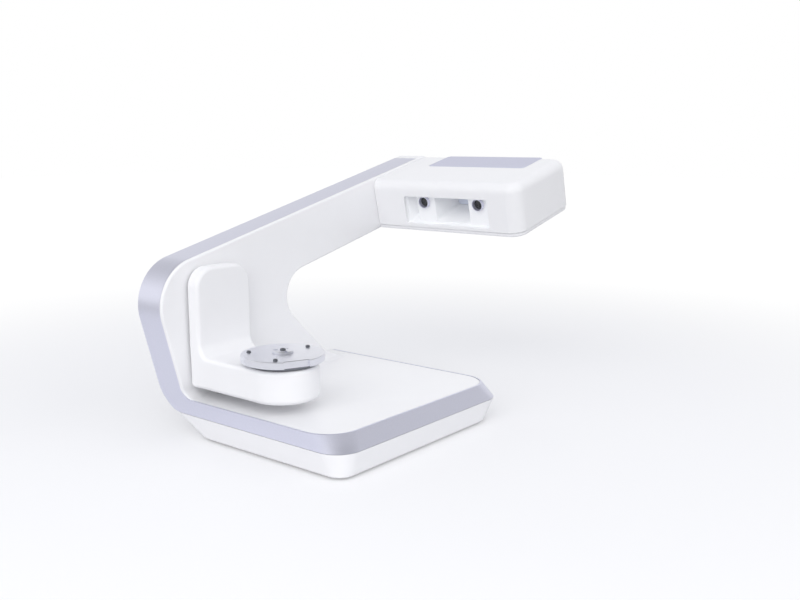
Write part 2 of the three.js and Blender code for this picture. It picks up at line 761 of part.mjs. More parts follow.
function swingMotor() {
  const half = swingMotorSize / 2;
  const body = alongY(
    moved(outline(squareMotor(half, half / 5)), swingMotorX, swingMotorZ),
    swingMotorFront, swingMotorFront + swingMotorLength,
  );
  const bore = rod(swingMotorShaft + seam, swingMotorFront - overrun, swingMotorFront + swingMotorLength / 2);
  return cut(body, turnedY(bore, swingMotorX, swingMotorZ, roundSides / 2));
}

// Motor bracket: an angle of sheet steel from the frame back to the motor's face
function motorBracket() {
  const half = swingMotorSize / 2;
  const shelf = swingMotorZ - half - motorPlate - seam;
  const side = [
    [frameBack + seam, shelf, 0], [motorPlateFront + motorPlate, shelf, 0],
    [motorPlateFront + motorPlate, swingMotorZ + half, 0], [motorPlateFront, swingMotorZ + half, 0],
    [motorPlateFront, shelf + motorPlate, 0], [frameBack + seam, shelf + motorPlate, 0],
  ];
  const hole = rod(swingMotorShaft * 2, motorPlateFront - overrun, motorPlateFront + overrun);
  const clear = block(
    [swingMotorX - half - overrun, swingX + swingShaftRadius + overrun], [motorPlateFront - overrun, swingMotorFront],
    [swingZ - swingShaftRadius - overrun, swingMotorZ + half + overrun],
  );
  return cut(
    alongX(outline(side), swingMotorX - half, swingMotorX + half),
    turnedY(hole, swingMotorX, swingMotorZ), clear,
  );
}

// Tilting bracket: an L-shaped moulding, its plate upright and its platform level
const bracketLeft = swingX - bracketWidth / 2;
const bracketRight = swingX + bracketWidth / 2;
const platformFront = bracketBack - platformReach;
const platformCorners = [
  [bracketLeft, bracketBack, 0], [bracketLeft, platformFront, bracketWidth / 2 - seam],
  [bracketRight, platformFront, bracketWidth / 2 - seam], [bracketRight, bracketBack, 0],
];
const plateCorners = [
  [bracketLeft, bracketBottom, platformEdge], [bracketRight, bracketBottom, platformEdge],
  [bracketRight, bracketTop, bracketTopRadius], [bracketLeft, bracketTop, bracketTopRadius],
];

function bracketShell() {
  const quarter = [0, 0.25, 0.5, 0.75, 1].map((share) => Math.PI / 2 * share);
  const rise = quarter.map((a) => [bracketBottom + platformEdge * (1 - Math.cos(a)), platformEdge * (1 - Math.sin(a))]);
  const crown = quarter.map((a) => [platformTop - bracketEdge * (1 - Math.sin(a)), bracketEdge * (1 - Math.cos(a))]);
  const platform = loftZ([...rise, ...crown].map(([height, inset]) => ({
    height, points: outline(platformCorners, inset),
  })));
  const plate = loftY([...quarter.map((a) => ({
    height: bracketFront + bracketEdge * (1 - Math.cos(a)),
    points: outline(plateCorners, bracketEdge * (1 - Math.sin(a))),
  })), { height: bracketBack, points: outline(plateCorners) }]);
  const side = new THREE.Shape();
  side.moveTo(bracketFront + wall, platformTop - wall);
  side.lineTo(bracketFront + wall, platformTop + platformCove);
  side.lineTo(bracketFront, platformTop + platformCove);
  side.absarc(bracketFront - platformCove, platformTop + platformCove, platformCove, 0, -Math.PI / 2, true);
  side.lineTo(bracketFront - platformCove, platformTop - wall);
  const fillet = alongX(side, bracketLeft + bracketEdge, bracketRight - bracketEdge);

  const room = alongZ(outline(platformCorners, wall), bracketBottom + platformEdge, platformTop - wall);
  const hatch = alongZ(outline(platformCorners, platformLip), bracketBottom - overrun, bracketBottom + platformEdge + seam);
  const back = alongY(outline(plateCorners, wall), bracketFront + wall, bracketBack + overrun);
  const hubHole = turnedZ(rod(hubRadius + 2 * seam, platformTop - overrun, platformTop + overrun), swingX, tableY);
  return cut(join(platform, plate, fillet), room, hatch, back, hubHole);
}

const bracketFloor = () => alongZ(
  outline(platformCorners, platformLip + seam),
  bracketBottom + seam, bracketBottom + seam + backPlate,
);
function bracketBackPlate() {
  const plate = alongY(outline(plateCorners, wall + seam), bracketBack - backPlate, bracketBack - seam / 2);
  const hole = rod(swingFlangeRadius + seam, bracketBack - overrun, bracketBack + overrun);
  return cut(plate, turnedY(hole, swingX, swingZ));
}

// Arm plate: the cast angle inside the bracket that carries the table
const shelfTop = platformTop - wall - seam;
const shelfBottom = shelfTop - armPlate;
const tableBearingBottom = shelfTop - tableBearingHeight;
function swingArmPlate() {
  const half = armPlateWidth / 2;
  const upright = alongY(
    outline(rectangle(swingX - half, swingX + half, shelfBottom, bracketTop - bracketTopRadius, half / 2)),
    armPlateFront, armPlateFront + armPlate,
  );
  const shelf = alongZ(
    outline(rectangle(swingX - half, swingX + half, tableY - half, armPlateFront + armPlate, half / 4)),
    shelfBottom, shelfTop,
  );
  const boss = turnedZ(rod(tableBearingRadius + armPlate, tableBearingBottom, shelfTop), swingX, tableY);
  const gusset = (x) => alongX(
    outline([[armPlateFront - half, shelfTop - seam, 0], [armPlateFront + seam, shelfTop - seam, 0],
      [armPlateFront + seam, platformTop + platformCove / 2, 0]]),
    x, x + armPlate,
  );
  const room = block([bracketLeft, bracketRight], [0, bracketFront + wall + seam], [shelfTop, bracketTop]);
  const bearing = turnedZ(
    rod(tableBearingRadius + seam, tableBearingBottom - overrun, shelfTop + overrun), swingX, tableY,
  );
  return cut(
    join(upright, shelf, boss, cut(gusset(swingX - half + armPlate), room), cut(gusset(swingX + half - 2 * armPlate), room)),
    bearing,
  );
}

// Table drive and turntable, all round the spindle
const tableDistance = tableModule * (tableTeeth + tablePinionTeeth) / 2 + meshSlack;
const tableMotorY = tableY + tableDistance;
const tableGearBottom = bracketBottom + platformEdge + 3 * seam;
const tableGearTop = tableGearBottom + tableFace;
const tableMotorTop = shelfBottom - seam;
function tableMotor() {
  const half = tableMotorSize / 2;
  const body = alongZ(
    moved(outline(squareMotor(half, half / 4)), swingX, tableMotorY),
    tableMotorTop - tableMotorHeight, tableMotorTop,
  );
  const bore = rod(tableMotorShaft + seam, tableGearTop, tableMotorTop - tableMotorHeight / 4);
  return cut(body, turnedZ(bore, swingX, tableMotorY, roundSides / 2));
}
function tablePinion() {
  const facing = -Math.PI / 2 + Math.PI / tablePinionTeeth;
  const teeth = moved(gearPoints(tablePinionTeeth, tableModule, facing), swingX, tableMotorY);
  const axle = rod(tableMotorShaft, tableGearBottom, tableMotorTop - tableMotorHeight / 2);
  return join(
    alongZ(teeth, tableGearBottom, tableGearTop),
    turnedZ(axle, swingX, tableMotorY, roundSides / 2),
  );
}
function tableGear() {
  const teeth = moved(gearPoints(tableTeeth, tableModule, Math.PI / 2), swingX, tableY);
  return cut(
    alongZ(teeth, tableGearBottom, tableGearTop),
    turnedZ(rod(spindleRadius + seam, tableGearBottom - overrun, tableGearTop + overrun), swingX, tableY),
  );
}
const tableBearing = () => turnedZ(
  tube(spindleRadius + seam, tableBearingRadius, tableBearingBottom, shelfTop), swingX, tableY,
);
const spindleTop = platterBottom + platterThickness / 2;
const tableSpindle = () => turnedZ([
  [0, tableGearBottom], [spindleRadius, tableGearBottom], [spindleRadius, tableGearTop + seam],
  [spindleRadius + armPlate, tableGearTop + seam], [spindleRadius + armPlate, tableBearingBottom - seam],
  [spindleRadius, tableBearingBottom - seam], [spindleRadius, spindleTop], [0, spindleTop],
], swingX, tableY);
const platter = () => turnedZ([
  [0, spindleTop + seam], [spindleRadius + seam, spindleTop + seam], [spindleRadius + seam, shelfTop + seam],
  [hubRadius, shelfTop + seam], [hubRadius, platterBottom], [platterRadius, platterBottom],
  [platterRadius, platterBottom + platterThickness], [0, platterBottom + platterThickness],
], swingX, tableY);

const clampBore = clampScrewRadius + seam;
function fixturePlate() {
  const disc = turnedZ([
    [0, tableBottom], [tableRadius - tableChamfer, tableBottom], [tableRadius, tableBottom + tableChamfer],
    [tableRadius, tableTop - tableChamfer], [tableRadius - tableChamfer, tableTop], [0, tableTop],
  ], swingX, tableY, 3 * roundSides);
  const notch = toSolid(new THREE.BoxGeometry(2 * notchDepth, notchWidth, 2 * tableThickness)
    .translate(tableRadius, 0, 0).rotateZ(notchAngle).translate(swingX, tableY, tableTop));
  const deep = toSolid(new THREE.BoxGeometry(2 * notchDepth, notchWidth, 2 * tableThickness)
    .translate(tableRadius, 0, 0).rotateZ(notchAngle).translate(swingX, tableY, tableBottom));
  const holes = studPlaces().map(([x, y]) =>
    turnedZ(rod(studRadius + seam, tableTop - tableThickness / 2, tableTop + overrun), x, y, roundSides / 2));
  const seat = turnedZ(rod(clampRadius + seam, tableTop - clampSeat, tableTop + overrun), swingX, tableY);
  return cut(disc, notch, deep, seat, ...holes);
}
function studPlaces() {
  return studTurnShares.map((share) => {
    const angle = 2 * Math.PI * share;
    return [swingX + studCircle * Math.cos(angle), tableY + studCircle * Math.sin(angle)];
  });
}
const stud = ([x, y]) => {
  const bottom = tableTop - tableThickness / 2 + seam;
  const top = tableTop + studHeight;
  const socket = studRadius / 2;
  return turnedZ([
    [0, bottom], [studRadius, bottom], [studRadius, top], [socket, top], [socket, tableTop], [0, tableTop],
  ], x, y, roundSides / 2);
};

// Clamp disc: the slotted boss in the middle that locates a model plate
const clampBottom = tableTop - clampSeat + seam;
function clampDisc() {
  const bottom = clampBottom;
  const disc = turnedZ([
    [0, bottom], [clampRadius, bottom], [clampRadius, bottom + clampHeight - tableChamfer],
    [clampRadius - tableChamfer, bottom + clampHeight], [0, bottom + clampHeight],
  ], swingX, tableY);
  const slot = (angle) => toSolid(new THREE.BoxGeometry(clampRadius, clampSlot, clampHeight)
    .translate(clampRadius, 0, 0).rotateZ(angle).translate(swingX, tableY, bottom + clampHeight));
  const slots = [0, 1, 2].map((i) => slot(notchAngle + 2 * Math.PI * i / 3));
  const bore = turnedZ(rod(clampBore, bottom + clampHeight / 2, bottom + 2 * clampHeight), swingX, tableY);
  return cut(disc, bore, ...slots);
}
const clampScrew = () => {
  const bottom = clampBottom + clampHeight / 2 + seam;
  const top = clampBottom + clampHeight + clampScrewHeight;
  const socket = clampScrewRadius / 2;
  return turnedZ([
    [0, bottom], [clampScrewRadius, bottom], [clampScrewRadius, top],
    [socket, top], [socket, top - clampScrewHeight], [0, top - clampScrewHeight],
  ], swingX, tableY, roundSides / 2);
};

// Head housing, drawn in the head's own frame and open below and behind
const headBack = frontDepth - seam;
const headCorners = [
  [0, headCoverHeight + seam, 0], [headWidth, headCoverHeight + seam, 0],
  [headWidth, headHeight, armEndRadius - trimThickness], [0, headHeight, headRadius],
];
const inlayCorners = (inset) => outline(rectangle(
  headWidth - inlayMargin - inlayWidth, headWidth - inlayMargin, inlayFront, inlayFront + inlayLength, inlayRadius,
), inset);
const quarterTurns = [0, 0.25, 0.5, 0.75, 1].map((share) => Math.PI / 2 * share);

function headHousing() {
  const nose = quarterTurns.map((a) => ({
    height: headFront + headEdge * (1 - Math.cos(a)), points: outline(headCorners, headEdge * (1 - Math.sin(a))),
  }));
  const outside = loftY([...nose, { height: headBack, points: outline(headCorners) }]);
  const lower = block([0, headWidth], [headFront, headBack], [0, headCoverHeight + seam]);
  const skirt = loftY([
    { height: headFront, points: outline(headCorners, headEdge) },
    { height: headBack, points: outline(headCorners, headEdge) },
  ]);
  const room = alongY(outline(headCorners.map(([u, v, r], i) => [u, i < 2 ? -overrun : v, r]), wall),
    headFront + wall + headEdge / 2, headBack + overrun);
  const opening = alongX(
    outline(rectangle(windowFront, windowFront + windowLength, windowBottom, windowBottom + windowHeight, windowRadius)),
    -overrun, overrun,
  );
  const inlay = alongZ(inlayCorners(0), headHeight - inlayThickness, headHeight + overrun);
  return cut(outside.add(skirt.subtract(lower)), room, opening, inlay);
}

// Head cover: the tray that closes the head from below
function headCover() {
  const inset = headCoverInset;
  const corners = rectangle(inset, headWidth - inset, headFront + inset, headBack, headRadius / 2);
  return loftZ([
    { height: 0, points: outline(corners, headCoverHeight / 3) },
    { height: headCoverHeight / 3, points: outline(corners, 0) },
    { height: headCoverHeight, points: outline(corners, 0) },
  ]);
}
const headInlay = () => alongZ(inlayCorners(seam), headHeight - inlayThickness + seam, headHeight);

// Window insert: a moulded tray behind the opening, with a tower round each
// camera and a funnel between them for the projector.
const frontCameraY = windowFront + insertSetback + towerWidth / 2;
const cameraYs = [frontCameraY + cameraSpacing, frontCameraY];
const insertFront = wall + seam;
const insertBack = insertFront + insertDepth;
function windowInsert() {
  const lip = 2;
  const body = block(
    [insertFront, insertBack], [windowFront - lip, windowFront + windowLength + lip],
    [windowBottom - lip, windowBottom + windowHeight + lip],
  );
  const inner = cameraYs[0] - towerWidth / 2;
  const outer = cameraYs[1] + towerWidth / 2;
  const middle = (inner + outer) / 2;
  const mouth = (inner - outer) / 2;
  const funnel = loftZ([[-overrun, 1], [insertDepth + insertFront + overrun, funnelEndShare]].map(([height, share]) => ({
    height,
    points: outline(rectangle(
      -(windowBottom + windowHeight - windowRadius * (1 - share)), -(windowBottom + windowHeight * (1 - share)),
      middle - mouth * share, middle + mouth * share, windowRadius,
    )),
  })));
  const turn = new THREE.Matrix4().makeRotationY(Math.PI / 2);
  const slope = loftZ([[0, 0], [recessDepth, 1]].map(([height, share]) => ({
    height: insertFront - seam + height,
    points: outline(rectangle(
      -(windowBottom + windowHeight), -(windowBottom + recessDepth * share / 2),
      cameraYs[0] + towerWidth / 2, windowFront + windowLength - recessDepth * share / 2, windowRadius / 2,
    )),
  })));
  const shallow = loftZ([[0, 0], [insertSetback, 1]].map(([height, share]) => ({
    height: insertFront - seam + height,
    points: outline(rectangle(
      -(windowBottom + windowHeight - share), -(windowBottom + share),
      windowFront + share, windowFront + windowLength - share, windowRadius,
    )),
  })));
  const bores = cameraYs.map((y) => alongX(
    outline(rectangle(y - barrelRadius, y + barrelRadius, cameraHeight - barrelRadius, cameraHeight + barrelRadius,
      barrelRadius - seam), -seam),
    insertFront - overrun, insertBack + overrun,
  ));
  return cut(body, ...[funnel, slope, shallow].map((s) => s.transform(turn.elements)), ...bores);
}

// Cameras: a turned barrel with its glass, and a sensor block behind the insert
const alongU = new THREE.Matrix4().makeRotationZ(-Math.PI / 2);
const barrelFront = insertFront - barrelLip;
const sensorFront = insertBack + seam;
function turnedU(profile, y, v, sides = roundSides) {
  const place = new THREE.Matrix4().makeTranslation(0, y, v).multiply(alongU);
  return toSolid(turned(profile, sides).applyMatrix4(place));
}
const glassBack = barrelFront + glassSetback + glassThickness;
const barrel = (y) => turnedU([
  [0, glassBack + seam], [glassRadius + seam, glassBack + seam], [glassRadius + seam, barrelFront],
  [barrelRadius, barrelFront], [barrelRadius, sensorFront - 2 * seam], [0, sensorFront - 2 * seam],
], y, cameraHeight);
const glass = (y) => turnedU([
  [0, barrelFront + glassSetback / 2], [glassRadius * 0.6, barrelFront + glassSetback * 0.7],
  [glassRadius, barrelFront + glassSetback], [glassRadius, glassBack], [0, glassBack],
], y, cameraHeight);
const sensorBack = sensorFront + sensorDepth;
const sensor = (y) => block(
  [sensorFront, sensorBack], [y - sensorSize / 2, y + sensorSize / 2],
  [cameraHeight - sensorSize / 2, cameraHeight + sensorSize / 2],
);
const projectorY = (cameraYs[0] + cameraYs[1]) / 2;
const projectorV = windowBottom + windowHeight * (1 - funnelEndShare / 2) - windowRadius / 2;
const projectorBody = () => cut(
  block([sensorFront, sensorBack], [projectorY - projectorWidth / 2, projectorY + projectorWidth / 2],
    [cameraHeight - sensorSize / 2, cameraHeight + sensorSize / 2]),
  turnedU(rod(projectorRadius, sensorFront - overrun, sensorFront + overrun), projectorY, projectorV),
);
const projectorLens = () => turnedU([
  [0, sensorFront + seam], [projectorRadius * 0.7, sensorFront + 4 * seam], [projectorRadius - seam, sensorFront + overrun / 2],
  [projectorRadius - seam, sensorFront + overrun - seam], [0, sensorFront + overrun - seam],
], projectorY, projectorV);

// Optical bench: the plate behind the cameras, bent over at the arm frame
function opticalBench() {
  const front = sensorBack + seam;
  const corners = rectangle(front, front + benchThickness, windowFront - wall, frameFront - seam);
  const flange = rectangle(front, headWidth - 3 * wall - headRadius, frameFront - seam - benchThickness, frameFront - seam);
  const low = headRadius + wall + headCoverHeight + 2 * seam;
  const high = headHeight - headRadius - wall - 2 * seam;
  return join(alongZ(outline(corners), low, high), alongZ(outline(flange), low, high));
}

// Rear cover: a flat back over the C and a box that houses the drive
const coverFront = wallBack + seam;
const coverBack = coverFront + coverSheet;
const bulgeBack = wallBack + bulgeDepth;
const bulgeCorners = [
  [swingMotorX - swingMotorSize / 2 - bulgeMargin, bulgeBottom, bulgeRadius],
  [motorRight + sideRoom * bulgeSideShare, bulgeBottom, bulgeRadius],
  [swingX + bulgeTopReach, swingZ + bulgeTopRise, bulgeRadius],
  [swingX - bulgeShoulder, swingZ + bulgeShoulderRise, bulgeRadius],
];
const bulgeOutline = (inset) => outline(bulgeCorners, inset);
const ventZ = swingZ - ventDrop;
const panelX = motorRight + sideRoom * panelSideShare;
const panelZ = bulgeBottom + panelFoot;
function rearCover() {
  const sheet = cut(
    alongY(outline(armCorners(coverEdgeInset), coverInset), coverFront, coverBack),
    block([farLeft, farRight], [coverFront - overrun, coverBack + overrun], [0, heelTop + seam]),
  );
  const flare = [0, 0.25, 0.5, 0.75, 1].map((share) => ({
    height: coverFront + coverSheet / 2 + (bulgeDepth - coverSheet - bulgeRound) * share,
    points: bulgeOutline(-bulgeFlare * (1 - share) ** 2),
  }));
  const crown = [0.5, 1].map((share) => ({
    height: bulgeBack - bulgeRound * (1 - share),
    points: bulgeOutline(bulgeRound * share * share),
  }));
  const bulge = loftY([...flare, ...crown]);
  const room = loftY([0, 0.25, 0.5, 0.75, 1].map((share) => ({
    height: coverFront - overrun + (bulgeDepth - wall + overrun) * share,
    points: bulgeOutline(wall - bulgeFlare * (1 - share) ** 2),
  })));
  const vents = Array.from({ length: ventCount }, (_, i) => alongY(
    outline(rectangle(swingX, swingX + ventLength, ventZ + i * ventPitch, ventZ + i * ventPitch + ventHeight, ventHeight / 3)),
    bulgeBack - 2 * wall, bulgeBack + overrun,
  ));
  const panelHole = alongY(
    outline(rectangle(panelX, panelX + panelWidth, panelZ, panelZ + panelHeight, wall / 2)),
    bulgeBack - 2 * wall, bulgeBack + overrun,
  );
  const holes = screwPlaces.map(([x, z]) => turnedY(
    rod(screwRadius + screwClearance, coverFront - overrun, coverBack + overrun), x, z, roundSides / 2,
  ));
  return cut(join(sheet, bulge), room, panelHole, ...vents, ...holes);
}
const coverScrew = ([x, z]) => turnedY([
  [0, wallBack - screwDepth], [screwRadius, wallBack - screwDepth], [screwRadius, coverBack + seam],
  [screwHeadRadius, coverBack + seam], [screwHeadRadius, coverBack + seam + screwHeadHeight * 0.6],
  [screwHeadRadius * 0.6, coverBack + seam + screwHeadHeight], [0, coverBack + seam + screwHeadHeight],
], x, z, roundSides / 2);

// Connector panel with its power inlet, data port and rocker switch
const panelBack = bulgeBack - panelRecess;
const panelFront = panelBack - panelSheet;
const panelMiddle = panelX + panelWidth / 2;
const inletZ = panelZ + panelHeight * 0.16;
const portZ = panelZ + panelHeight * 0.47;
const rockerZ = panelZ + panelHeight * 0.81;
const rockerHouseWidth = rockerWidth + 2 * rockerBezel;
const rockerHouseHeight = rockerHeight + 2 * rockerBezel;
function centred(width, height, z) {
  return rectangle(panelMiddle - width / 2, panelMiddle + width / 2, z - height / 2, z + height / 2);
}
function connectorPanel() {
  const sheet = alongY(
    outline(rectangle(panelX, panelX + panelWidth, panelZ, panelZ + panelHeight, wall / 2), seam), panelFront, panelBack,
  );
  const through = [panelFront - overrun, panelBack + overrun];
  return cut(
    sheet,
    turnedY(rod(inletRadius + seam, ...through), panelMiddle, inletZ),
    alongY(outline(centred(portSize, portSize, portZ), -seam), ...through),
    alongY(outline(centred(rockerHouseWidth, rockerHouseHeight, rockerZ), -seam), ...through),
  );
}
const powerInlet = () => turnedY([
  [0, panelBack - inletDepth], [inletRadius, panelBack - inletDepth], [inletRadius, panelBack + seam],
  [inletBore, panelBack + seam], [inletBore, panelBack - inletDepth / 2], [inletPin, panelBack - inletDepth / 2],
  [inletPin, panelBack - seam], [0, panelBack - seam],
], panelMiddle, inletZ);
function dataPort() {
  const body = alongY(outline(centred(portSize, portSize, portZ)), panelBack - portDepth, panelBack + seam);
  const inner = portSize - 2 * portWall;
  const hollow = alongY(outline(centred(inner, inner, portZ)), panelBack - portDepth / 2, panelBack + overrun);
  const tongue = alongY(outline(centred(inner / 2, inner / 2, portZ)), panelBack - portDepth, panelBack - portWall);
  return join(cut(body, hollow), tongue);
}
const rockerPivot = panelBack - rockerDepth / 2;
function switchHousing() {
  const body = alongY(
    outline(centred(rockerHouseWidth, rockerHouseHeight, rockerZ)), panelBack - 2 * rockerDepth, panelBack + rockerProud / 2,
  );
  const hollow = alongY(
    outline(centred(rockerWidth, rockerHeight, rockerZ)), panelBack - 1.6 * rockerDepth, panelBack + overrun,
  );
  return cut(body, hollow);
}

// Rocker: its two faces slope by the travel, so that one side stands out
function rocker() {
  const half = rockerWidth / 2 - 2 * seam;
  const low = rockerPivot - half * Math.tan(rockerTravel) - 2 * seam;
  const top = panelBack + rockerProud;
  const shape = outline([
    [panelMiddle - half, low + 4 * seam, 0], [panelMiddle - half * 0.6, low, 0], [panelMiddle + half * 0.6, low, 0],
    [panelMiddle + half, low + 4 * seam, 0], [panelMiddle + half * 0.92, top, 0],
    [panelMiddle, top - half * Math.tan(rockerTravel), 0],
    [panelMiddle - half * 0.92, top - half * Math.tan(rockerTravel) / 2, 0],
  ]);
  return alongZ(shape, rockerZ - rockerHeight / 2 + seam, rockerZ + rockerHeight / 2 - seam);
}

// Assembly
const scanner = new THREE.Group();
const stand = new THREE.Group();
const head = new THREE.Group();
head.position.set(headCornerX, 0, headCornerZ);
head.rotation.y = -armTilt;
const swing = new THREE.Group();
const table = new THREE.Group();
swing.add(table);
scanner.add(stand, head, swing);

function place(group, name, solid, material) {
  const mesh = new THREE.Mesh(toGeometry(solid), material);
  mesh.name = name;
  group.add(mesh);
}

place(stand, 'front_shell', frontShell(), whitePlastic);
place(stand, 'trim_band', trimBand(), silverTrim);
place(stand, 'base_pan', pan(), whitePlastic);
footPlaces().forEach((spot, i) => place(stand, `foot_pad_${i + 1}`, footPad(spot), rubber));
place(stand, 'ground_plate', groundPlateSolid(), darkSteel);
place(stand, 'main_board', mainBoard(), boardGreen);
place(stand, 'arm_frame', armFrame(), darkSteel);
place(stand, 'bearing_carrier', bearingCarrier(), castAluminium);
['front', 'rear'].forEach((end, i) => place(stand, `swing_bearing_${end}`, swingBearing(i), machined));
place(stand, 'motor_bracket', motorBracket(), darkSteel);
place(stand, 'swing_motor', swingMotor(), blackPlastic);
place(stand, 'swing_pinion', swingPinion(), brass);
place(stand, 'rear_cover', rearCover(), whitePlastic);
screwPlaces.forEach((spot, i) => place(stand, `cover_screw_${i + 1}`, coverScrew(spot), darkSteel));
place(stand, 'connector_panel', connectorPanel(), darkSteel);
place(stand, 'power_inlet', powerInlet(), blackPlastic);
place(stand, 'data_port', dataPort(), machined);
place(stand, 'switch_housing', switchHousing(), blackPlastic);
place(stand, 'switch_rocker', rocker(), blackPlastic);

place(head, 'head_housing', headHousing(), whitePlastic);
place(head, 'head_cover', headCover(), whitePlastic);
place(head, 'head_inlay', headInlay(), greyInlay);
place(head, 'window_insert', windowInsert(), whitePlastic);
place(head, 'optical_bench', opticalBench(), castAluminium);
cameraYs.forEach((y, i) => {
  place(head, `camera_barrel_${i + 1}`, barrel(y), blackPlastic);
  place(head, `camera_glass_${i + 1}`, glass(y), lensGlass);
  place(head, `camera_sensor_${i + 1}`, sensor(y), castAluminium);
});
place(head, 'projector_body', projectorBody(), blackPlastic);
place(head, 'projector_lens', projectorLens(), lensGlass);

place(swing, 'swing_bracket', bracketShell(), whitePlastic);
place(swing, 'bracket_floor', bracketFloor(), whitePlastic);
place(swing, 'bracket_back', bracketBackPlate(), whitePlastic);
place(swing, 'swing_arm_plate', swingArmPlate(), castAluminium);
place(swing, 'swing_shaft', swingShaft(), darkSteel);
place(swing, 'swing_gear', swingGear(), castAluminium);
place(swing, 'table_motor', tableMotor(), blackPlastic);
place(swing, 'table_bearing', tableBearing(), machined);
place(swing, 'table_pinion', tablePinion(), brass);

place(table, 'table_spindle', tableSpindle(), darkSteel);
place(table, 'table_gear', tableGear(), castAluminium);
place(table, 'platter', platter(), darkSteel);
place(table, 'fixture_plate', fixturePlate(), machined);
place(table, 'clamp_disc', clampDisc(), machined);
place(table, 'clamp_screw', clampScrew(), darkSteel);
studPlaces().forEach((spot, i) => place(table, `locating_stud_${i + 1}`, stud(spot), darkSteel));

const reach = new THREE.Box3().setFromObject(scanner);
const middle = reach.getCenter(new THREE.Vector3());
scanner.position.set(-middle.x, -middle.y, -reach.min.z);

export default scanner;
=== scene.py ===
"""Desktop 3D scanner: the finished surfaces of its shells, head, bracket and turntable.

Everything is in metres. Pieces are worked out in the scanner's own layout, whose
origin is the foot's front-left floor corner, and then set at that corner.
"""

import json
import math

import bmesh
import bpy
import numpy as np
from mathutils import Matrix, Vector


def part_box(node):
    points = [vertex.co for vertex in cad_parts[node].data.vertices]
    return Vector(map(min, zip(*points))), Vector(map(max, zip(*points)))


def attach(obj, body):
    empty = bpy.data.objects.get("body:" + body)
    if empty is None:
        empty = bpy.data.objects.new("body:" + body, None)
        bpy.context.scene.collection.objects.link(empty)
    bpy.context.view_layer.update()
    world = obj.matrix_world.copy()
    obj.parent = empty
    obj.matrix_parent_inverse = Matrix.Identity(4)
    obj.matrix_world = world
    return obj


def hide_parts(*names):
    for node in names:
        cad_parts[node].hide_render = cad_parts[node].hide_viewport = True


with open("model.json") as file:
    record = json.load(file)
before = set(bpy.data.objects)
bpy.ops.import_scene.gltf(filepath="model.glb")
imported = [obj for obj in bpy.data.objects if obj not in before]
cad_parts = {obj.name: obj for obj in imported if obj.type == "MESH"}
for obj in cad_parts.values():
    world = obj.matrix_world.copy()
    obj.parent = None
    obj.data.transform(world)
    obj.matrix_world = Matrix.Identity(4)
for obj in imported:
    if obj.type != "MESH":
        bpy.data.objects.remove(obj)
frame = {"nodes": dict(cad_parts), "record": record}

bl_info = {
    "name": "Desktop 3D scanner",
    "version": (1, 0, 0),
    "blender": (4, 5, 0),
    "location": "3D View > Sidebar > Scanner",
    "description": "Builds the shells, head, bracket, turntable and finishes of a desktop 3D scanner",
    "category": "Add Mesh",
}

MM = 0.001
SEAM = 0.3 * MM          # clearance between pieces that touch
OVERRUN = 6 * MM         # how far a cutter runs past what it cuts
HAIR = 0.01 * MM         # keeps the two arcs of a round end from meeting
WELD = 2e-6              # points closer than this are one
TINY = 1e-6
QUARTER = math.pi / 2
SHARP = math.radians(32)     # faces that meet at a wider angle have a sharp edge between them
SENSOR_WIDTH = 36.0      # the camera's, in millimetres
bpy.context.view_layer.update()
ORIGIN = np.array([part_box("base_pan")[0].x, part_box("trim_band")[0].y, 0.0])


# Settings

def length(name, text, millimetres):
    """A size that the sidebar shows with its unit."""
    return bpy.props.FloatProperty(
        name=name, description=text, default=millimetres * MM, min=0.0, unit="LENGTH", precision=4)


def angle(name, text, degrees):
    """A slope or turn that the sidebar shows in degrees."""
    return bpy.props.FloatProperty(
        name=name, description=text, default=math.radians(degrees), subtype="ANGLE")


def linear(code):
    """Linear red, green, blue and alpha of an sRGB hex colour."""
    parts = np.array([int(code[i:i + 2], 16) for i in (1, 3, 5)]) / 255
    parts = np.where(parts <= 0.04045, parts / 12.92, ((parts + 0.055) / 1.055) ** 2.4)
    return (*parts.tolist(), 1.0)


def colour(name, text, code):
    """A finish's colour, written in sRGB hex."""
    return bpy.props.FloatVectorProperty(
        name=name, description=text, default=linear(code)[:3], size=3, min=0.0, max=1.0, subtype="COLOR")


def fraction(name, text, value):
    """A plain number from 0 to 1."""
    return bpy.props.FloatProperty(
        name=name, description=text, default=value, min=0.0, max=1.0, subtype="FACTOR")


def watts(name, text, value):
    """A lamp's power."""
    return bpy.props.FloatProperty(name=name, description=text, default=value, min=0.0, unit="POWER")


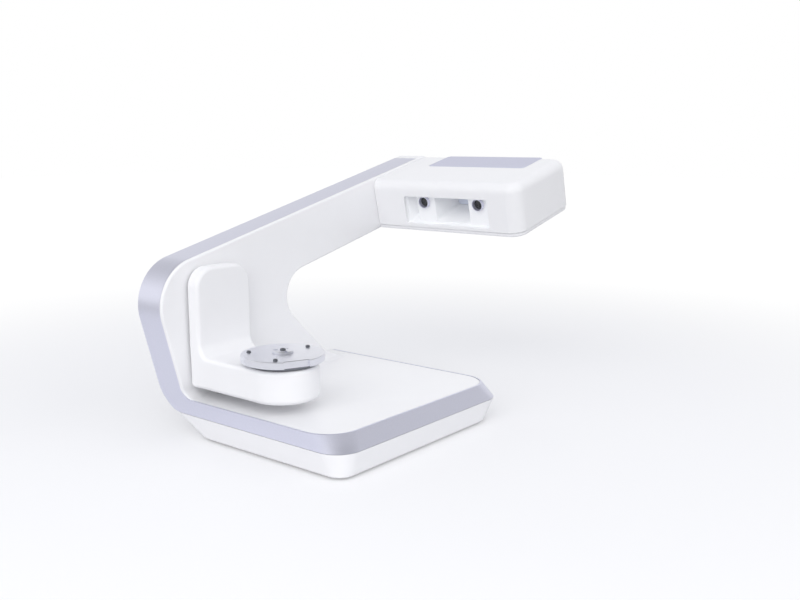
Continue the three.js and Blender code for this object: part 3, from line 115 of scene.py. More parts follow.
class ScannerShell(bpy.types.PropertyGroup):
    """Sizes of the foot, the wall and the arm."""
    foot_width: length("Foot width", "Across the band's lower edge", 249)
    foot_flare: length("Foot flare", "How far the front and right of the band slope in", 7)
    front_depth: length("Front depth", "From the foot's front to the upright wall", 198.6)
    wall_depth: length("Wall depth", "Depth of the upright and the arm", 36.4)
    floor_gap: length("Floor gap", "Underside of the pan above the floor", 2)
    band_bottom: length("Band bottom", "Lower edge of the silver band above the floor", 23.6)
    band_height: length("Band height", "Height of the silver band round the foot", 16.1)
    band_radius: length("Band radius", "Plan corner at the band's lower edge", 25)
    top_radius: length("Top radius", "Plan corner at the band's upper edge", 32)
    trim: length("Trim thickness", "Thickness of the silver band", 2)
    band_edge: length("Band edge", "Rounding of the silver band's two edges", 0.35)
    lip: length("Lip", "White edge in front of the silver strip", 2.6)
    rim: length("Rim", "Rounding of the white edges", 2.5)
    foot_rim: length("Foot rim", "Rounding of the upper edge of the foot", 1.0)
    wall: length("Wall", "Thickness of the moulded walls", 2.5)
    cove: length("Cove", "Fillet between the foot's top and the wall", 10)
    heel: length("Heel", "Rounding of the lower back", 25)
    lean_start: length("Lean start", "Height where the left edge starts to lean out", 30)
    lean_blend: length("Lean blend", "Half of the height over which the lean starts", 6)
    lean: angle("Lean", "Lean of the left edge", 15)
    arm_tilt: angle("Arm tilt", "Slope of the arm and the head", 14.2)
    diagonal_tilt: angle("Diagonal tilt", "Slope of the edge under the throat", 44.3)
    diagonal_margin: length("Diagonal margin", "From the diagonal's foot to the right edge of the foot", 36.6)
    foot_blend: length("Foot blend", "Radius where the diagonal meets the foot", 80)
    throat: length("Throat", "Radius inside the C", 30)
    elbow: length("Elbow", "Radius outside the C", 46)
    arm_end: length("Arm end", "Radius of the arm's upper end", 15)
    arm_lower_end: length("Arm lower end", "Radius of the arm's lower end", 6)
    bare_end: length("Bare end", "Stretch of the arm past the silver strip's end", 24)
    pan_radius: length("Pan radius", "Left front plan corner at the pan's underside", 15)
    pan_right_radius: length("Pan right radius", "Right front plan corner at the pan's underside", 36)
    pan_taper: length("Pan taper", "How far the pan draws in at its underside", 4.3)
    pan_front_taper: length("Pan front taper", "The same at its front", 3.01)
    pan_rear_taper: length("Pan rear taper", "The same at its back", 15)
    pan_edge: length("Pan edge", "Rounding of the pan's lower edge", 2)
    pan_rear_radius: length("Pan rear radius", "Rear plan corner at the pan's underside", 24)


class ScannerHead(bpy.types.PropertyGroup):
    """Sizes of the optical head, across and up in its own tilted frame."""
    corner_x: length("Corner x", "Lower left corner of the head, to the right", 289.1)
    corner_z: length("Corner z", "Lower left corner of the head, upwards", 181.7)
    width: length("Width", "Across the head", 112.3)
    height: length("Height", "Height of the head", 58)
    front: length("Front", "Front of the head behind the foot's front", 7)
    nose: length("Nose", "Plan corner of the head's front", 16)
    edge: length("Edge", "Rounding of the upper left edge", 11)
    low_edge: length("Low edge", "Rounding of the housing's lower edge", 1.2)
    cover: length("Cover", "Height of the lower cover", 4)
    cover_inset: length("Cover inset", "How far the lower cover stands in", 1.2)
    window_front: length("Window front", "Front end of the window", 44.5)
    window_bottom: length("Window bottom", "Lower edge of the window", 8.5)
    window_height: length("Window height", "Height of the window", 32)
    window_length: length("Window length", "Length of the window", 112)
    window_radius: length("Window radius", "Corner of the window", 3)
    camera_spacing: length("Camera spacing", "Between the two cameras", 72)
    camera_first: length("Camera place", "Front camera behind the foot's front", 58.5)
    camera_height: length("Camera height", "Cameras above the head's lower corner", 33.6)
    barrel: length("Barrel radius", "Radius of a camera barrel", 6.2)
    barrel_lip: length("Barrel lip", "How far a barrel stands out of its tower", 4)
    glass: length("Glass radius", "Radius of a front glass", 4.9)
    glass_recess: length("Glass recess", "Glass behind the collar's front", 3.4)
    glass_edge: length("Glass edge", "Rise of a front glass, and rounding of collars and pane", 0.4)
    collar: length("Collar radius", "Radius of the light collar round a glass", 6.7)
    insert_front: length("Insert front", "Face of the camera towers behind the head's side", 2.8)
    insert_back: length("Insert back", "Back of the window insert", 40.8)
    setback: length("Setback", "Face of the camera towers behind the insert's edge", 2.7)
    pane_width: length("Pane width", "Glass at the funnel's inner end, along the window", 30)
    pane_height: length("Pane height", "The same, upwards", 17.9)
    pane_bottom: length("Pane bottom", "Its lower edge above the head's lower corner", 21.3)
    pane: length("Pane", "Thickness of the glass", 1.2)
    inlay_length: length("Inlay length", "Length of the grey inlay", 131)
    inlay_width: length("Inlay width", "Width of the grey inlay", 45)
    inlay_front: length("Inlay front", "Front of the inlay behind the foot's front", 34)
    inlay_margin: length("Inlay margin", "From the inlay to the head's right edge", 5)
    inlay_radius: length("Inlay radius", "Corner of the inlay", 5)
    inlay_depth: length("Inlay depth", "Thickness of the inlay", 1.5)
    inlay_edge: length("Inlay edge", "Bevel of the inlay's upper edge", 0.3)


class ScannerBracket(bpy.types.PropertyGroup):
    """Sizes of the swinging bracket."""
    swing_x: length("Swing x", "Swing axis, to the right", 37.5)
    swing_z: length("Swing z", "Swing axis, upwards", 128)
    gap: length("Gap", "Between the bracket's back and the wall", 2.1)
    width: length("Width", "Across the bracket", 67)
    top: length("Top", "Height of the bracket's top", 166)
    bottom: length("Bottom", "Height of the bracket's underside", 50)
    plate: length("Plate", "Thickness of the upright plate", 13.5)
    corner: length("Corner", "Radius of the plate's upper corners", 20)
    edge: length("Edge", "Rounding of the bracket's edges", 4)
    back_edge: length("Back edge", "Rounding of the plate's back edge", 1)
    heel: length("Heel", "Rounding of the lower back corner", 3.5)
    lower_edge: length("Lower edge", "Rounding of the platform's lower edge", 5)
    platform: length("Platform", "Height of the platform's top", 81)
    reach: length("Reach", "From the bracket's back to its round end", 125.5)
    cove: length("Cove", "Fillet between the platform and the plate", 12)
    lip: length("Lip", "Rim round the floor of the platform", 6)
    floor: length("Floor", "Thickness of the floor", 2)
    hub: length("Hub", "Radius of the platter's hub", 10)


class ScannerTable(bpy.types.PropertyGroup):
    """Sizes of the turntable."""
    radius: length("Radius", "Radius of the fixture plate", 38.5)
    bottom: length("Bottom", "Height of the fixture plate's underside", 85)
    thickness: length("Thickness", "Thickness of the fixture plate", 6.6)
    edge: length("Edge", "Rounding of the fixture plate's edges", 0.6)
    notch_width: length("Notch width", "Width of the notch", 24)
    notch_depth: length("Notch depth", "Depth of the notch", 4.5)
    notch_turn: angle("Notch turn", "Direction of the notch", -114)
    stud_circle: length("Stud circle", "Radius on which the studs stand", 31.5)
    stud: length("Stud radius", "Radius of a stud", 2)
    stud_height: length("Stud height", "How far a stud stands out", 1.6)
    stud_edge: length("Stud edge", "Rounding of a stud's upper edge", 0.3)
    clamp: length("Clamp radius", "Radius of the clamp disc", 9.5)
    clamp_seat: length("Clamp seat", "Depth of the disc's seat in the plate", 0.8)
    clamp_height: length("Clamp height", "Height of the clamp disc", 3.1)
    clamp_slot: length("Clamp slot", "Width of a slot in the clamp disc", 3)
    screw: length("Screw radius", "Radius of the screw in the middle", 2.6)
    screw_height: length("Screw height", "How far the screw stands out", 1.4)
    screw_edge: length("Screw edge", "Rounding of the screw's upper edge", 0.4)
    spindle: length("Spindle radius", "Radius of the spindle in the platter's hub", 4.7)
    platter: length("Platter radius", "Radius of the platter", 30)
    platter_bottom: length("Platter bottom", "Height of the platter's underside", 81.7)
    platter_height: length("Platter height", "Thickness of the platter", 3)


class ScannerBack(bpy.types.PropertyGroup):
    """Sizes of the rear cover, its drive housing, vents and screws, and the rubber feet."""
    sheet: length("Sheet", "Thickness of the rear cover", 2)
    cover_edge: length("Cover edge", "Rounding of the cover's outer edge", 0.8)
    inset: length("Inset", "How far the cover stands in from the edge", 0.6)
    trim_inset: length("Trim inset", "Further in along the silver strip", 3)
    bulge_depth: length("Bulge depth", "How far the drive housing stands out", 33)
    bulge_flare: length("Bulge flare", "Spread of the housing's foot", 10)
    bulge_round: length("Bulge round", "Rounding of the housing's back edge", 5)
    bulge_radius: length("Bulge radius", "Corner of the drive housing", 12)
    bulge_bottom: length("Bulge bottom", "Lower edge of the drive housing", 62.353)
    motor_right: length("Motor right", "Right side of the swing motor", 78.4675)
    motor_size: length("Motor size", "Width of the swing motor", 35)
    bulge_margin: length("Bulge margin", "Room round the swing motor", 7.5)
    side_room: length("Side room", "From the motor to the diagonal", 103.72)
    side_share: fraction("Side share", "Part of the side room that the housing takes", 0.65)
    bulge_right: length("Bulge right", "Upper right corner of the housing, right of the swing axis", 58.5)
    bulge_right_top: length("Bulge right top", "The same corner, above the swing axis", 24)
    bulge_left: length("Bulge left", "Upper left corner of the housing, left of the swing axis", 13.5)
    bulge_left_top: length("Bulge left top", "The same corner, above the swing axis", 8)
    vent_length: length("Vent length", "Length of a vent slot", 46)
    vent_height: length("Vent height", "Height of a vent slot", 2.4)
    vent_pitch: length("Vent pitch", "Distance between vent slots", 5)
    vent_drop: length("Vent drop", "Lowest vent below the swing axis", 14)
    screw_head: length("Screw head", "Height of a cover screw's head", 1.8)
    shank: length("Shank", "Radius of a cover screw's shank", 1.5)
    socket: length("Socket", "Half the width of its hexagonal socket", 1.35)
    socket_depth: length("Socket depth", "Depth of its socket", 1.1)
    pad_edge: length("Pad edge", "Rounding of a rubber foot", 0.6)
    pad_stem: length("Pad stem", "Radius of a rubber foot's stem", 3)


class ScannerFinish(bpy.types.PropertyGroup):
    """Colours of the finishes."""
    shell: colour("Shell", "White shells", "#f3f3f5")
    silver: colour("Silver", "Silver band", "#e4e5f4")
    inlay: colour("Inlay", "Grey inlay on the head", "#d2d3e6")
    plate: colour("Plate", "Machined aluminium", "#f0f1f8")
    floor: colour("Floor", "Studio floor", "#f4f4f6")


class ScannerStage(bpy.types.PropertyGroup):
    """Camera and light."""
    camera_place: bpy.props.FloatVectorProperty(
        name="Camera place", description="Where the camera stands", size=3, subtype="TRANSLATION",
        default=(-0.71246, -0.62133, 0.28344))
    camera_turn: angle("Camera turn", "Azimuth of the view, from straight ahead", -51.172)
    camera_drop: angle("Camera drop", "How far the camera looks down", 9.997)
    lens: bpy.props.FloatProperty(
        name="Lens", description="Focal length on a 36 mm sensor", default=40.805, min=1.0, unit="CAMERA")
    floor_size: length("Floor", "Half of the floor's side", 6000)
    floor_near: length("Floor near", "Where the floor starts to fade to white", 300)
    floor_far: length("Floor far", "Where the floor is plain white", 1100)
    floor_glow: fraction("Floor glow", "The floor's own white beside the scanner", 0.25)
    room_grey: fraction("Room", "Brightness of the room in front of the backdrop, in reflections", 0.54)
    ceiling_grey: fraction("Ceiling", "Brightness of the ceiling against the backdrop, in reflections", 0.3)
    ambient: fraction("Ambient", "Light from all around", 0.75)
    key: watts("Key", "Lamp at the left", 18.8)
    fill: watts("Fill", "Lamp in front", 8)
    top: watts("Top", "Lamp overhead", 0.6)
    rear: watts("Rear", "Lamp behind", 4.8)


class ScannerSettings(bpy.types.PropertyGroup):
    """All the settings of the scanner."""
    shell: bpy.props.PointerProperty(type=ScannerShell)
    head: bpy.props.PointerProperty(type=ScannerHead)
    bracket: bpy.props.PointerProperty(type=ScannerBracket)
    table: bpy.props.PointerProperty(type=ScannerTable)
    back: bpy.props.PointerProperty(type=ScannerBack)
    finish: bpy.props.PointerProperty(type=ScannerFinish)
    stage: bpy.props.PointerProperty(type=ScannerStage)


def settings():
    """The scene's settings of the scanner."""
    return bpy.context.scene.scanner


# Outlines

def mix(start, stop, part):
    """Between two values: the first where the part is 0, the second where it is 1."""
    return (1 - part) * start + part * stop


def smoothstep(part):
    """Eases from 0 to 1, level at both ends: three times the square less twice the cube."""
    return part ** 2 * (3 - 2 * part)


def outline(corners, inset=0.0, steps=8, closed=True):
    """A polygon with rounded corners, given as rows of x, y and radius, each arc with its steps.

    Each edge is moved inwards, to its left, by its own inset. Neighbouring edges meet
    at a corner, which becomes an arc of the corner's radius that touches both. A
    radius below zero marks a step between two edges in line, and gives a point on each.
    """
    corners = np.asarray(corners, float)
    count = len(corners)
    insets = np.broadcast_to(np.asarray(inset, float), count)
    arcs = np.broadcast_to(np.asarray(steps), count)
    along = np.roll(corners[:, :2], -1, 0) - corners[:, :2]
    along = along / np.linalg.norm(along, axis=1, keepdims=True)
    inward = np.stack([-along[:, 1], along[:, 0]], 1)
    start = corners[:, :2] + inward * insets[:, None]
    points = []
    for i in range(count):
        last = (i - 1) % count
        radius = corners[i, 2]
        if not closed and i in (0, count - 1):
            edge = 0 if i == 0 else last
            points.append((corners[i, :2] + inward[edge] * insets[edge])[None])
            continue
        turn = along[last, 0] * along[i, 1] - along[last, 1] * along[i, 0]
        if radius < 0:
            points.append(corners[i, :2] + np.array([
                inward[last] * insets[last] + along[last] * radius,
                inward[i] * insets[i] - along[i] * radius]))
            continue
        if abs(turn) < TINY:
            points.append(start[i][None])
            continue
        gap = start[i] - start[last]
        reach = (gap[0] * along[i, 1] - gap[1] * along[i, 0]) / turn
        corner = start[last] + along[last] * reach
        if radius == 0:
            points.append(corner[None])
            continue
        side = math.copysign(1.0, turn)
        swing = math.atan2(turn, along[last] @ along[i])
        rounded = max(radius - side * (insets[last] + insets[i]) / 2, TINY)
        centre = corner - along[last] * rounded * math.tan(abs(swing) / 2) + inward[last] * side * rounded
        angles = np.linspace(0, swing, int(arcs[i]) + 1)
        spoke = -inward[last] * side * rounded
        points.append(centre + np.stack([
            spoke[0] * np.cos(angles) - spoke[1] * np.sin(angles),
            spoke[0] * np.sin(angles) + spoke[1] * np.cos(angles)], 1))
    return np.concatenate(points)


def box_corners(x0, x1, y0, y1, radius):
    """The corners of a rectangle with one radius, as an outline takes them."""
    return [[x0, y0, radius], [x1, y0, radius], [x1, y1, radius], [x0, y1, radius]]


def meet(one, two):
    """Where two lines, each a point and a direction, cross."""
    (p, d), (q, e) = one, two
    gap = q - p
    return p + d * (gap[0] * e[1] - gap[1] * e[0]) / (d[0] * e[1] - d[1] * e[0])


def direction(turn):
    """The unit vector at an angle from the first axis."""
    return np.array([math.cos(turn), math.sin(turn)])


def spread(points, height, axis=2):
    """Puts plane points at a height along the given axis: the other two keep their order."""
    height = np.broadcast_to(height, len(points))
    return np.insert(points, axis, height, axis=1)


# Surfaces

class Skin:
    """Gathers grids of points and flat caps, and welds them into one mesh."""

    def __init__(self):
        self.points, self.faces, self.count = [], [], 0

    def add(self, points):
        """Adds points, and gives the number of the first."""
        start = self.count
        self.points.append(points)
        self.count += len(points)
        return start

    def grid(self, rows, wrap=False):
        """Quads between rows of points, each row as long as the next."""
        rows = np.asarray(rows, float)
        tall, wide = rows.shape[:2]
        start = self.add(rows.reshape(-1, 3))
        i = np.arange(tall - 1)[:, None] * wide
        j = np.arange(wide if wrap else wide - 1)[None]
        k = (j + 1) % wide
        quads = np.stack([i + j, i + k, i + wide + k, i + wide + j], -1).reshape(-1, 4)
        self.faces += (quads + start).tolist()
        return self

    def cap(self, loop):
        """One flat face inside a closed loop of points."""
        start = self.add(np.asarray(loop, float))
        self.faces.append(list(range(start, self.count)))
        return self

    def solid(self, rows):
        """A closed body: rows of closed loops with a cap on the first and the last."""
        return self.grid(rows, wrap=True).cap(rows[0]).cap(rows[-1])

    def mesh(self, name):
        """Welds what lies together, drops what has no area and turns the faces out."""
        mesh = bpy.data.meshes.new(name)
        mesh.from_pydata(np.concatenate(self.points) + ORIGIN, [], self.faces)
        body = bmesh.new()
        body.from_mesh(mesh)
        bmesh.ops.remove_doubles(body, verts=body.verts, dist=WELD)
        bmesh.ops.dissolve_degenerate(body, edges=body.edges, dist=WELD)
        bmesh.ops.recalc_face_normals(body, faces=body.faces)
        body.to_mesh(mesh)
        body.free()
        return mesh


def combine(made, skin, operation):
    """Joins a closed body to a piece or cuts it out, and keeps the result as the piece's mesh."""
    other = bpy.data.objects.new("other", skin.mesh("other"))
    bpy.context.scene.collection.objects.link(other)
    modifier = made.modifiers.new("combine", "BOOLEAN")
    modifier.operation, modifier.solver, modifier.object = operation, "EXACT", other
    depsgraph = bpy.context.evaluated_depsgraph_get()
    mesh = bpy.data.meshes.new_from_object(made.evaluated_get(depsgraph))
    made.modifiers.remove(modifier)
    old, made.data = made.data, mesh
    bpy.data.meshes.remove(old)
    bpy.data.objects.remove(other)
    mesh.name = made.name


def piece(name, skin, body, slot, replaces=(), look=None, joins=(), cuts=()):
    """An object from a skin, with its body, its slot and the nodes that it stands for.

    It has the slot's own finish, unless a look names another. Closed bodies are joined to
    it and then cut out of it. Its normals are weighted by face area, so that flat faces
    stay flat beside their roundings.
    """
    mesh = skin.mesh(name)
    mesh.materials.append(finish(look or slot))
    made = bpy.data.objects.new(name, mesh)
    bpy.context.scene.collection.objects.link(made)
    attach(made, body)
    if len(replaces):
        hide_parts(*replaces)
    for operation, others in (("UNION", joins), ("DIFFERENCE", cuts)):
        for other in others:
            combine(made, other, operation)
    made.data.polygons.foreach_set("use_smooth", np.ones(len(made.data.polygons), bool))
    made.data.set_sharp_from_angle(angle=SHARP)
    modifier = made.modifiers.new("even_normals", "WEIGHTED_NORMAL")
    modifier.keep_sharp = True
    modifier.weight = 100


def rounding(radius, steps):
    """Inset and depth along a quarter round, from the flat face out to the side."""
    turn = np.linspace(0, QUARTER, steps + 1)
    return radius * (1 - np.sin(turn)), radius * (1 - np.cos(turn))


def prism(corners, start, stop, axis, place=None):
    """An outline carried straight along an axis."""
    flat = outline(corners)
    rows = np.array([spread(flat, value, axis) for value in (start, stop)])
    return Skin().solid(rows if place is None else place(rows))


def turned(profile, centre, sides, axis=2):
    """A lathe body: a profile of radius and height spun about an upright axis through the
    centre, or with axis 0 about one that runs across."""
    radius, height = np.asarray(profile, float).T
    around = np.linspace(0, 2 * math.pi, sides, endpoint=False)
    rows = np.stack([
        radius[:, None] * np.cos(around)[None], radius[:, None] * np.sin(around)[None],
        np.broadcast_to(height[:, None], (len(radius), sides))], -1)
    if axis == 0:
        rows = rows[..., [2, 0, 1]]
    return Skin().grid(rows + np.asarray(centre, float), wrap=True)


def arc_profile(centre_r, centre_h, radius, start, stop, steps=5):
    """Profile points on an arc in the radius and height plane, angles in degrees."""
    turn = np.radians(np.linspace(start, stop, steps + 1))
    return [[centre_r + radius * math.cos(t), centre_h + radius * math.sin(t)] for t in turn]


def rod(radius, low, high, centre, sides):
    """A plain upright cylinder."""
    return turned([[0, low], [radius, low], [radius, high], [0, high]], centre, sides)


def cup(radius, low, high, edge, bore, floor, centre, sides):
    """An upright disc with a rounded upper edge, bored from above down to a floor."""
    return turned([
        [0, low], [radius, low], *arc_profile(radius - edge, high - edge, edge, 0, 90),
        [bore, high], [bore, floor], [0, floor]], centre, sides)


# The C-shaped shell

def left_edge(z):
    """x of the left edge at a height: upright, then leaning out after a short parabola."""
    s = settings().shell
    above = np.clip(z - (s.lean_start - s.lean_blend), 0, None)
    slope = math.tan(s.lean)
    return -slope * np.where(above < 2 * s.lean_blend, above ** 2 / (4 * s.lean_blend), above - s.lean_blend)


class Lines:
    """The lines that the shell's outline follows, worked out from the settings."""

    def __init__(self):
        s, h = settings().shell, settings().head
        self.band_top = s.band_bottom + s.band_height
        self.wall_back = s.front_depth + s.wall_depth
        self.heel_top = s.band_bottom + s.heel
        self.diagonal_foot = s.foot_width - s.foot_flare - s.diagonal_margin
        self.along = direction(s.arm_tilt)
        self.up = np.array([-self.along[1], self.along[0]])
        self.head = np.array([h.corner_x, h.corner_z])
        self.under = (self.head, self.along)
        self.diagonal = (np.array([self.diagonal_foot, self.band_top]), direction(math.pi - s.diagonal_tilt))
        self.throat = meet(self.diagonal, self.under)
        self.end = (self.head + self.along * h.width, self.up)
        self.top = (self.head + self.up * (h.height + s.trim), self.along)
        self.left = (
            np.array([float(left_edge(self.band_top)), self.band_top]), direction(QUARTER + s.lean))
        self.lower_end = meet(self.under, self.end)
        self.upper_end = meet(self.end, self.top)
        self.elbow = meet(self.top, self.left)


def heel_y(z):
    """y of the back at a height: round at the heel, then upright."""
    s, lines = settings().shell, Lines()
    below = np.clip(lines.heel_top - z, 0, s.heel)
    return lines.wall_back - s.heel + np.sqrt(s.heel ** 2 - below ** 2)


BLEND_STEPS = 40         # facets where the diagonal rises out of the foot
ARM_STEPS = (0, BLEND_STEPS, 28, 10, 14, 0, 40, 0)   # facets of the arm's corners in order
TRIM_START = sum(ARM_STEPS[1:5]) + 5     # first point on the silver strip: an arc has one more than facets
TURN_STEPS = 14          # facets of the turn between the wall and the foot
RIM_STEPS = 6            # facets of a rounded edge
COVE_COLUMNS = 60        # columns of the cove between the left edge and the diagonal
FOOT_STEPS = 20          # facets of a plan corner of the foot
HEEL_STEPS = 16          # facets of the round lower back
HEEL_COLUMNS = 90        # its columns from left to right
BAND_ROUND = 0.012       # part of the silver band's depth over which an edge of it is rounded


def arm_path(inset=0.0, trimmed=0.0):
    """The arm's outline from the foot's top round the throat, the arm and the elbow to the cove.

    Seen from the front as x and z. The inset holds for all edges, and trimmed is added
    along the silver strip.
    """
    s, lines = settings().shell, Lines()
    bare = lines.upper_end - lines.along * s.bare_end
    low = lines.band_top + s.cove
    corners = [
        [s.foot_width, lines.band_top, 0], [*lines.diagonal[0], s.foot_blend], [*lines.throat, s.throat],
        [*lines.lower_end, s.arm_lower_end], [*lines.upper_end, s.arm_end], [*bare, -SEAM / 2],
        [*lines.elbow, s.elbow], [float(left_edge(low)), low, 0],
    ]
    insets = np.full(len(corners), inset)
    insets[5:] += trimmed
    path = outline(corners, insets, ARM_STEPS, closed=False)[1:]
    path[-1] = [float(left_edge(low)) + (inset + trimmed) / math.cos(s.lean), low]
    return path


def foot_path(z, inset, start, stop):
    """The foot's outline at one height, from its left side round the front to its right side."""
    s = settings().shell
    share = (z - s.band_bottom) / s.band_height
    front, right = s.foot_flare * share, s.foot_width - s.foot_flare * share
    radius = mix(s.band_radius, s.top_radius, share)
    left = float(left_edge(z))
    corners = [[left, start, 0], [left, front, radius], [right, front, radius], [right, stop, 0]]
    return outline(corners, inset, FOOT_STEPS, closed=False)


def turn_row(radius, inset, centre_y, centre_z):
    """The turn between the wall's left edge and the foot's: an arc seen from the side, without its ends."""
    psi = np.linspace(0, QUARTER, TURN_STEPS + 1)[1:-1]
    y, z = centre_y + radius * np.cos(psi), centre_z - radius * np.sin(psi)
    return np.stack([left_edge(z) + inset, y, z], 1)


def cove_turn(depth, inset):
    """That turn at a depth under the cove; the wall's inset is measured across its lean."""
    s, lines = settings().shell, Lines()
    share = np.linspace(0, 1, TURN_STEPS + 1)[1:-1]
    wide = inset * (share + (1 - share) / math.cos(s.lean))
    return turn_row(s.cove + depth, wide, s.front_depth - s.cove, lines.band_top + s.cove)


def heel_turn(inset):
    """That turn along the heel, the round lower back."""
    s, lines = settings().shell, Lines()
    return turn_row(s.heel, inset, lines.wall_back - s.heel, lines.heel_top)


def shell_rows():
    """Rows of the shell's rim, from the face round its edge to the back and in again.

    A row runs from the foot's top up the diagonal, round the arm and down the left edge,
    turns through the cove and goes on round the foot. Where the diagonal rises out of the
    foot, the wall is lower than the cove and the rim together, so both arcs are shortened
    to one angle theta with cos(theta) = 1 - rise / (cove + rim).
    """
    s, lines = settings().shell, Lines()
    seat = s.trim + SEAM
    base = arm_path()
    inner = (arm_path(inset=MM) - base) / MM
    upward = np.clip(-inner[:, 1], 0.2, None)     # kept off 0, where the outline runs upright
    rise = np.clip((base[:, 1] - lines.band_top) / upward, 0, None)
    blend = np.arange(len(base)) <= BLEND_STEPS
    theta = np.where(blend, np.arccos(np.clip(1 - rise / (s.cove + s.rim), 0, 1)), QUARTER)
    share = np.linspace(0, 1, TURN_STEPS + 1)[1:-1]
    turn_rim = mix(s.rim, s.foot_rim, smoothstep(share))
    rear_start = s.front_depth - s.cove
    rear_end = float(heel_y(lines.band_top))
    rear = lines.wall_back - s.heel
    rows = []
    for step in range(RIM_STEPS + 1):
        left = 1 - step / RIM_STEPS
        a, q = theta * left, QUARTER * left
        drawn = (s.rim * (1 - np.cos(a)))[:, None]
        arm = spread(base + inner * drawn, s.front_depth + s.rim * (1 - np.sin(a)), 1)
        inset, depth = 1 - math.cos(q), 1 - math.sin(q)
        z = lines.band_top - s.foot_rim * depth
        foot = spread(foot_path(z, seat + s.foot_rim * inset, rear_start, rear_end), z)
        rows.append(np.concatenate([arm, cove_turn(turn_rim * depth, turn_rim * inset + seat * share), foot]))
    foot = rows[-1][len(base) + TURN_STEPS - 1:] - [0, 0, s.lip - s.foot_rim]
    behind = s.front_depth + s.lip
    rows.append(np.concatenate([spread(base, behind, 1), cove_turn(s.lip, seat * share), foot]))
    rows.append(np.concatenate([spread(arm_path(trimmed=seat), behind, 1), cove_turn(s.lip, seat), foot]))
    for extra in (0.0, s.wall):
        back = arm_path(inset=extra, trimmed=seat)
        arm = spread(back, heel_y(np.where(blend, back[:, 1], lines.heel_top)), 1)
        foot = spread(foot_path(s.band_bottom, seat + extra, rear, rear), s.band_bottom)
        rows.append(np.concatenate([arm, heel_turn(seat + extra), foot]))
    inside = s.front_depth + np.where(theta < QUARTER, s.rim, s.wall)
    arm = spread(arm_path(inset=s.wall, trimmed=seat), inside, 1)
    z = lines.band_top - s.wall
    foot = spread(foot_path(z, seat + s.wall, rear_start, rear_end), z)
    rows.append(np.concatenate([arm, cove_turn(s.wall, seat + s.wall), foot]))
    return np.array(rows), base, inner, rise, theta


def cove_grid(base, inner, rise, theta, deep):
    """The fillet between the foot's top and the wall, as columns from left to right.

    Each column is an arc that starts flat on the foot's top at its base point and rises
    along its own direction: sheared to the leaning left edge, upright, then turned to the
    diagonal's normal, and last as low as the shortened arcs of the blend.
    """
    s, lines = settings().shell, Lines()
    first = int(np.argmax(theta >= QUARTER - TINY))
    tilted = -inner[:first + 1][::-1]
    foot = (base + inner * rise[:, None])[:first + 1, 0][::-1]
    left = float(left_edge(lines.band_top))
    x = left + (foot[0] - left) * np.linspace(0, 1, COVE_COLUMNS)[:-1]
    sheared = np.clip(1 - (x - left) / (2 * s.cove), 0, 1) ** 2
    fan = np.clip((x - foot[0]) / (4 * s.cove) + 1, 0, 1)
    tilt = math.atan2(tilted[0, 0], tilted[0, 1]) * smoothstep(fan)
    way = np.stack([np.sin(tilt) - math.tan(s.lean) * sheared, np.cos(tilt)], 1)
    bases = spread(np.concatenate([x, foot])[:, None], lines.band_top, 1)
    ways = np.concatenate([way, tilted])
    angles = np.concatenate([np.full(len(x), QUARTER), theta[:first + 1][::-1]])
    start = s.front_depth + s.rim - (s.cove + s.rim) * np.sin(angles)
    rows = []
    for step in range(TURN_STEPS + 1):
        b = angles * step / TURN_STEPS
        up = (s.cove + deep) * (1 - np.cos(b)) - deep
        rows.append(spread(bases + ways * up[:, None], start + (s.cove + deep) * np.sin(b), 1))
    return np.array(rows), first


def shell_skin():
    """The front shell: rim, faces and coves outside, the same a wall's thickness further in."""
    s = settings().shell
    rows, base, inner, rise, theta = shell_rows()
    arm_end = len(base) - 1
    foot_start = len(base) + TURN_STEPS - 1
    skin = Skin().grid(rows)
    for row, deep, edge in ((0, 0.0, rows[-3::-1, 0]), (-1, s.wall, rows[-2:, 0])):
        cove, first = cove_grid(base, inner, rise, theta, deep)
        cove[:, 0] = rows[row, arm_end:foot_start + 1][::-1]
        skin.grid(cove)
        skin.cap(np.concatenate([rows[row, first - 1:arm_end + 1], cove[-1, 1:cove.shape[1] - first]]))
        skin.cap(np.concatenate([rows[row, foot_start:], edge, cove[0, -2:0:-1]]))
    skin.cap(rows[:, -1])
    skin.cap([rows[0, -1], rows[-3, 0], rows[-2, 0], rows[-1, -1]])
    return heel_wall(skin)


def heel_wall(skin):
    """The shell's round lower back, an arc carried across between its side walls."""
    s, lines = settings().shell, Lines()
    seat = s.trim + SEAM
    inset = seat + s.wall + SEAM
    across = np.linspace(0, 1, HEEL_COLUMNS)
    up = np.linspace(0, 1, HEEL_STEPS + 1)[:, None]
    bottom = mix(inset, s.foot_width - seat, across)
    left = float(left_edge(lines.heel_top)) + inset
    top = mix(left, s.foot_width - s.foot_flare - seat, across)
    foot = arm_path()[:BLEND_STEPS + 1][::-1]
    height = np.interp(top, foot[:, 0], foot[:, 1] - SEAM, left=lines.heel_top, right=lines.band_top - SEAM)
    turn = up * np.arccos((lines.heel_top - np.minimum(height, lines.heel_top)) / s.heel)
    outer, inner = (np.stack([
        mix(bottom, top, up), lines.wall_back - s.heel + radius * np.sin(turn),
        lines.heel_top - radius * np.cos(turn)], -1) for radius in (s.heel, s.heel - s.wall))
    skin.grid(outer).grid(inner)
    for edge in (0, -1):
        skin.grid(np.array([outer[edge], inner[edge]]))
        skin.grid(np.array([outer[:, edge], inner[:, edge]]))
    return skin


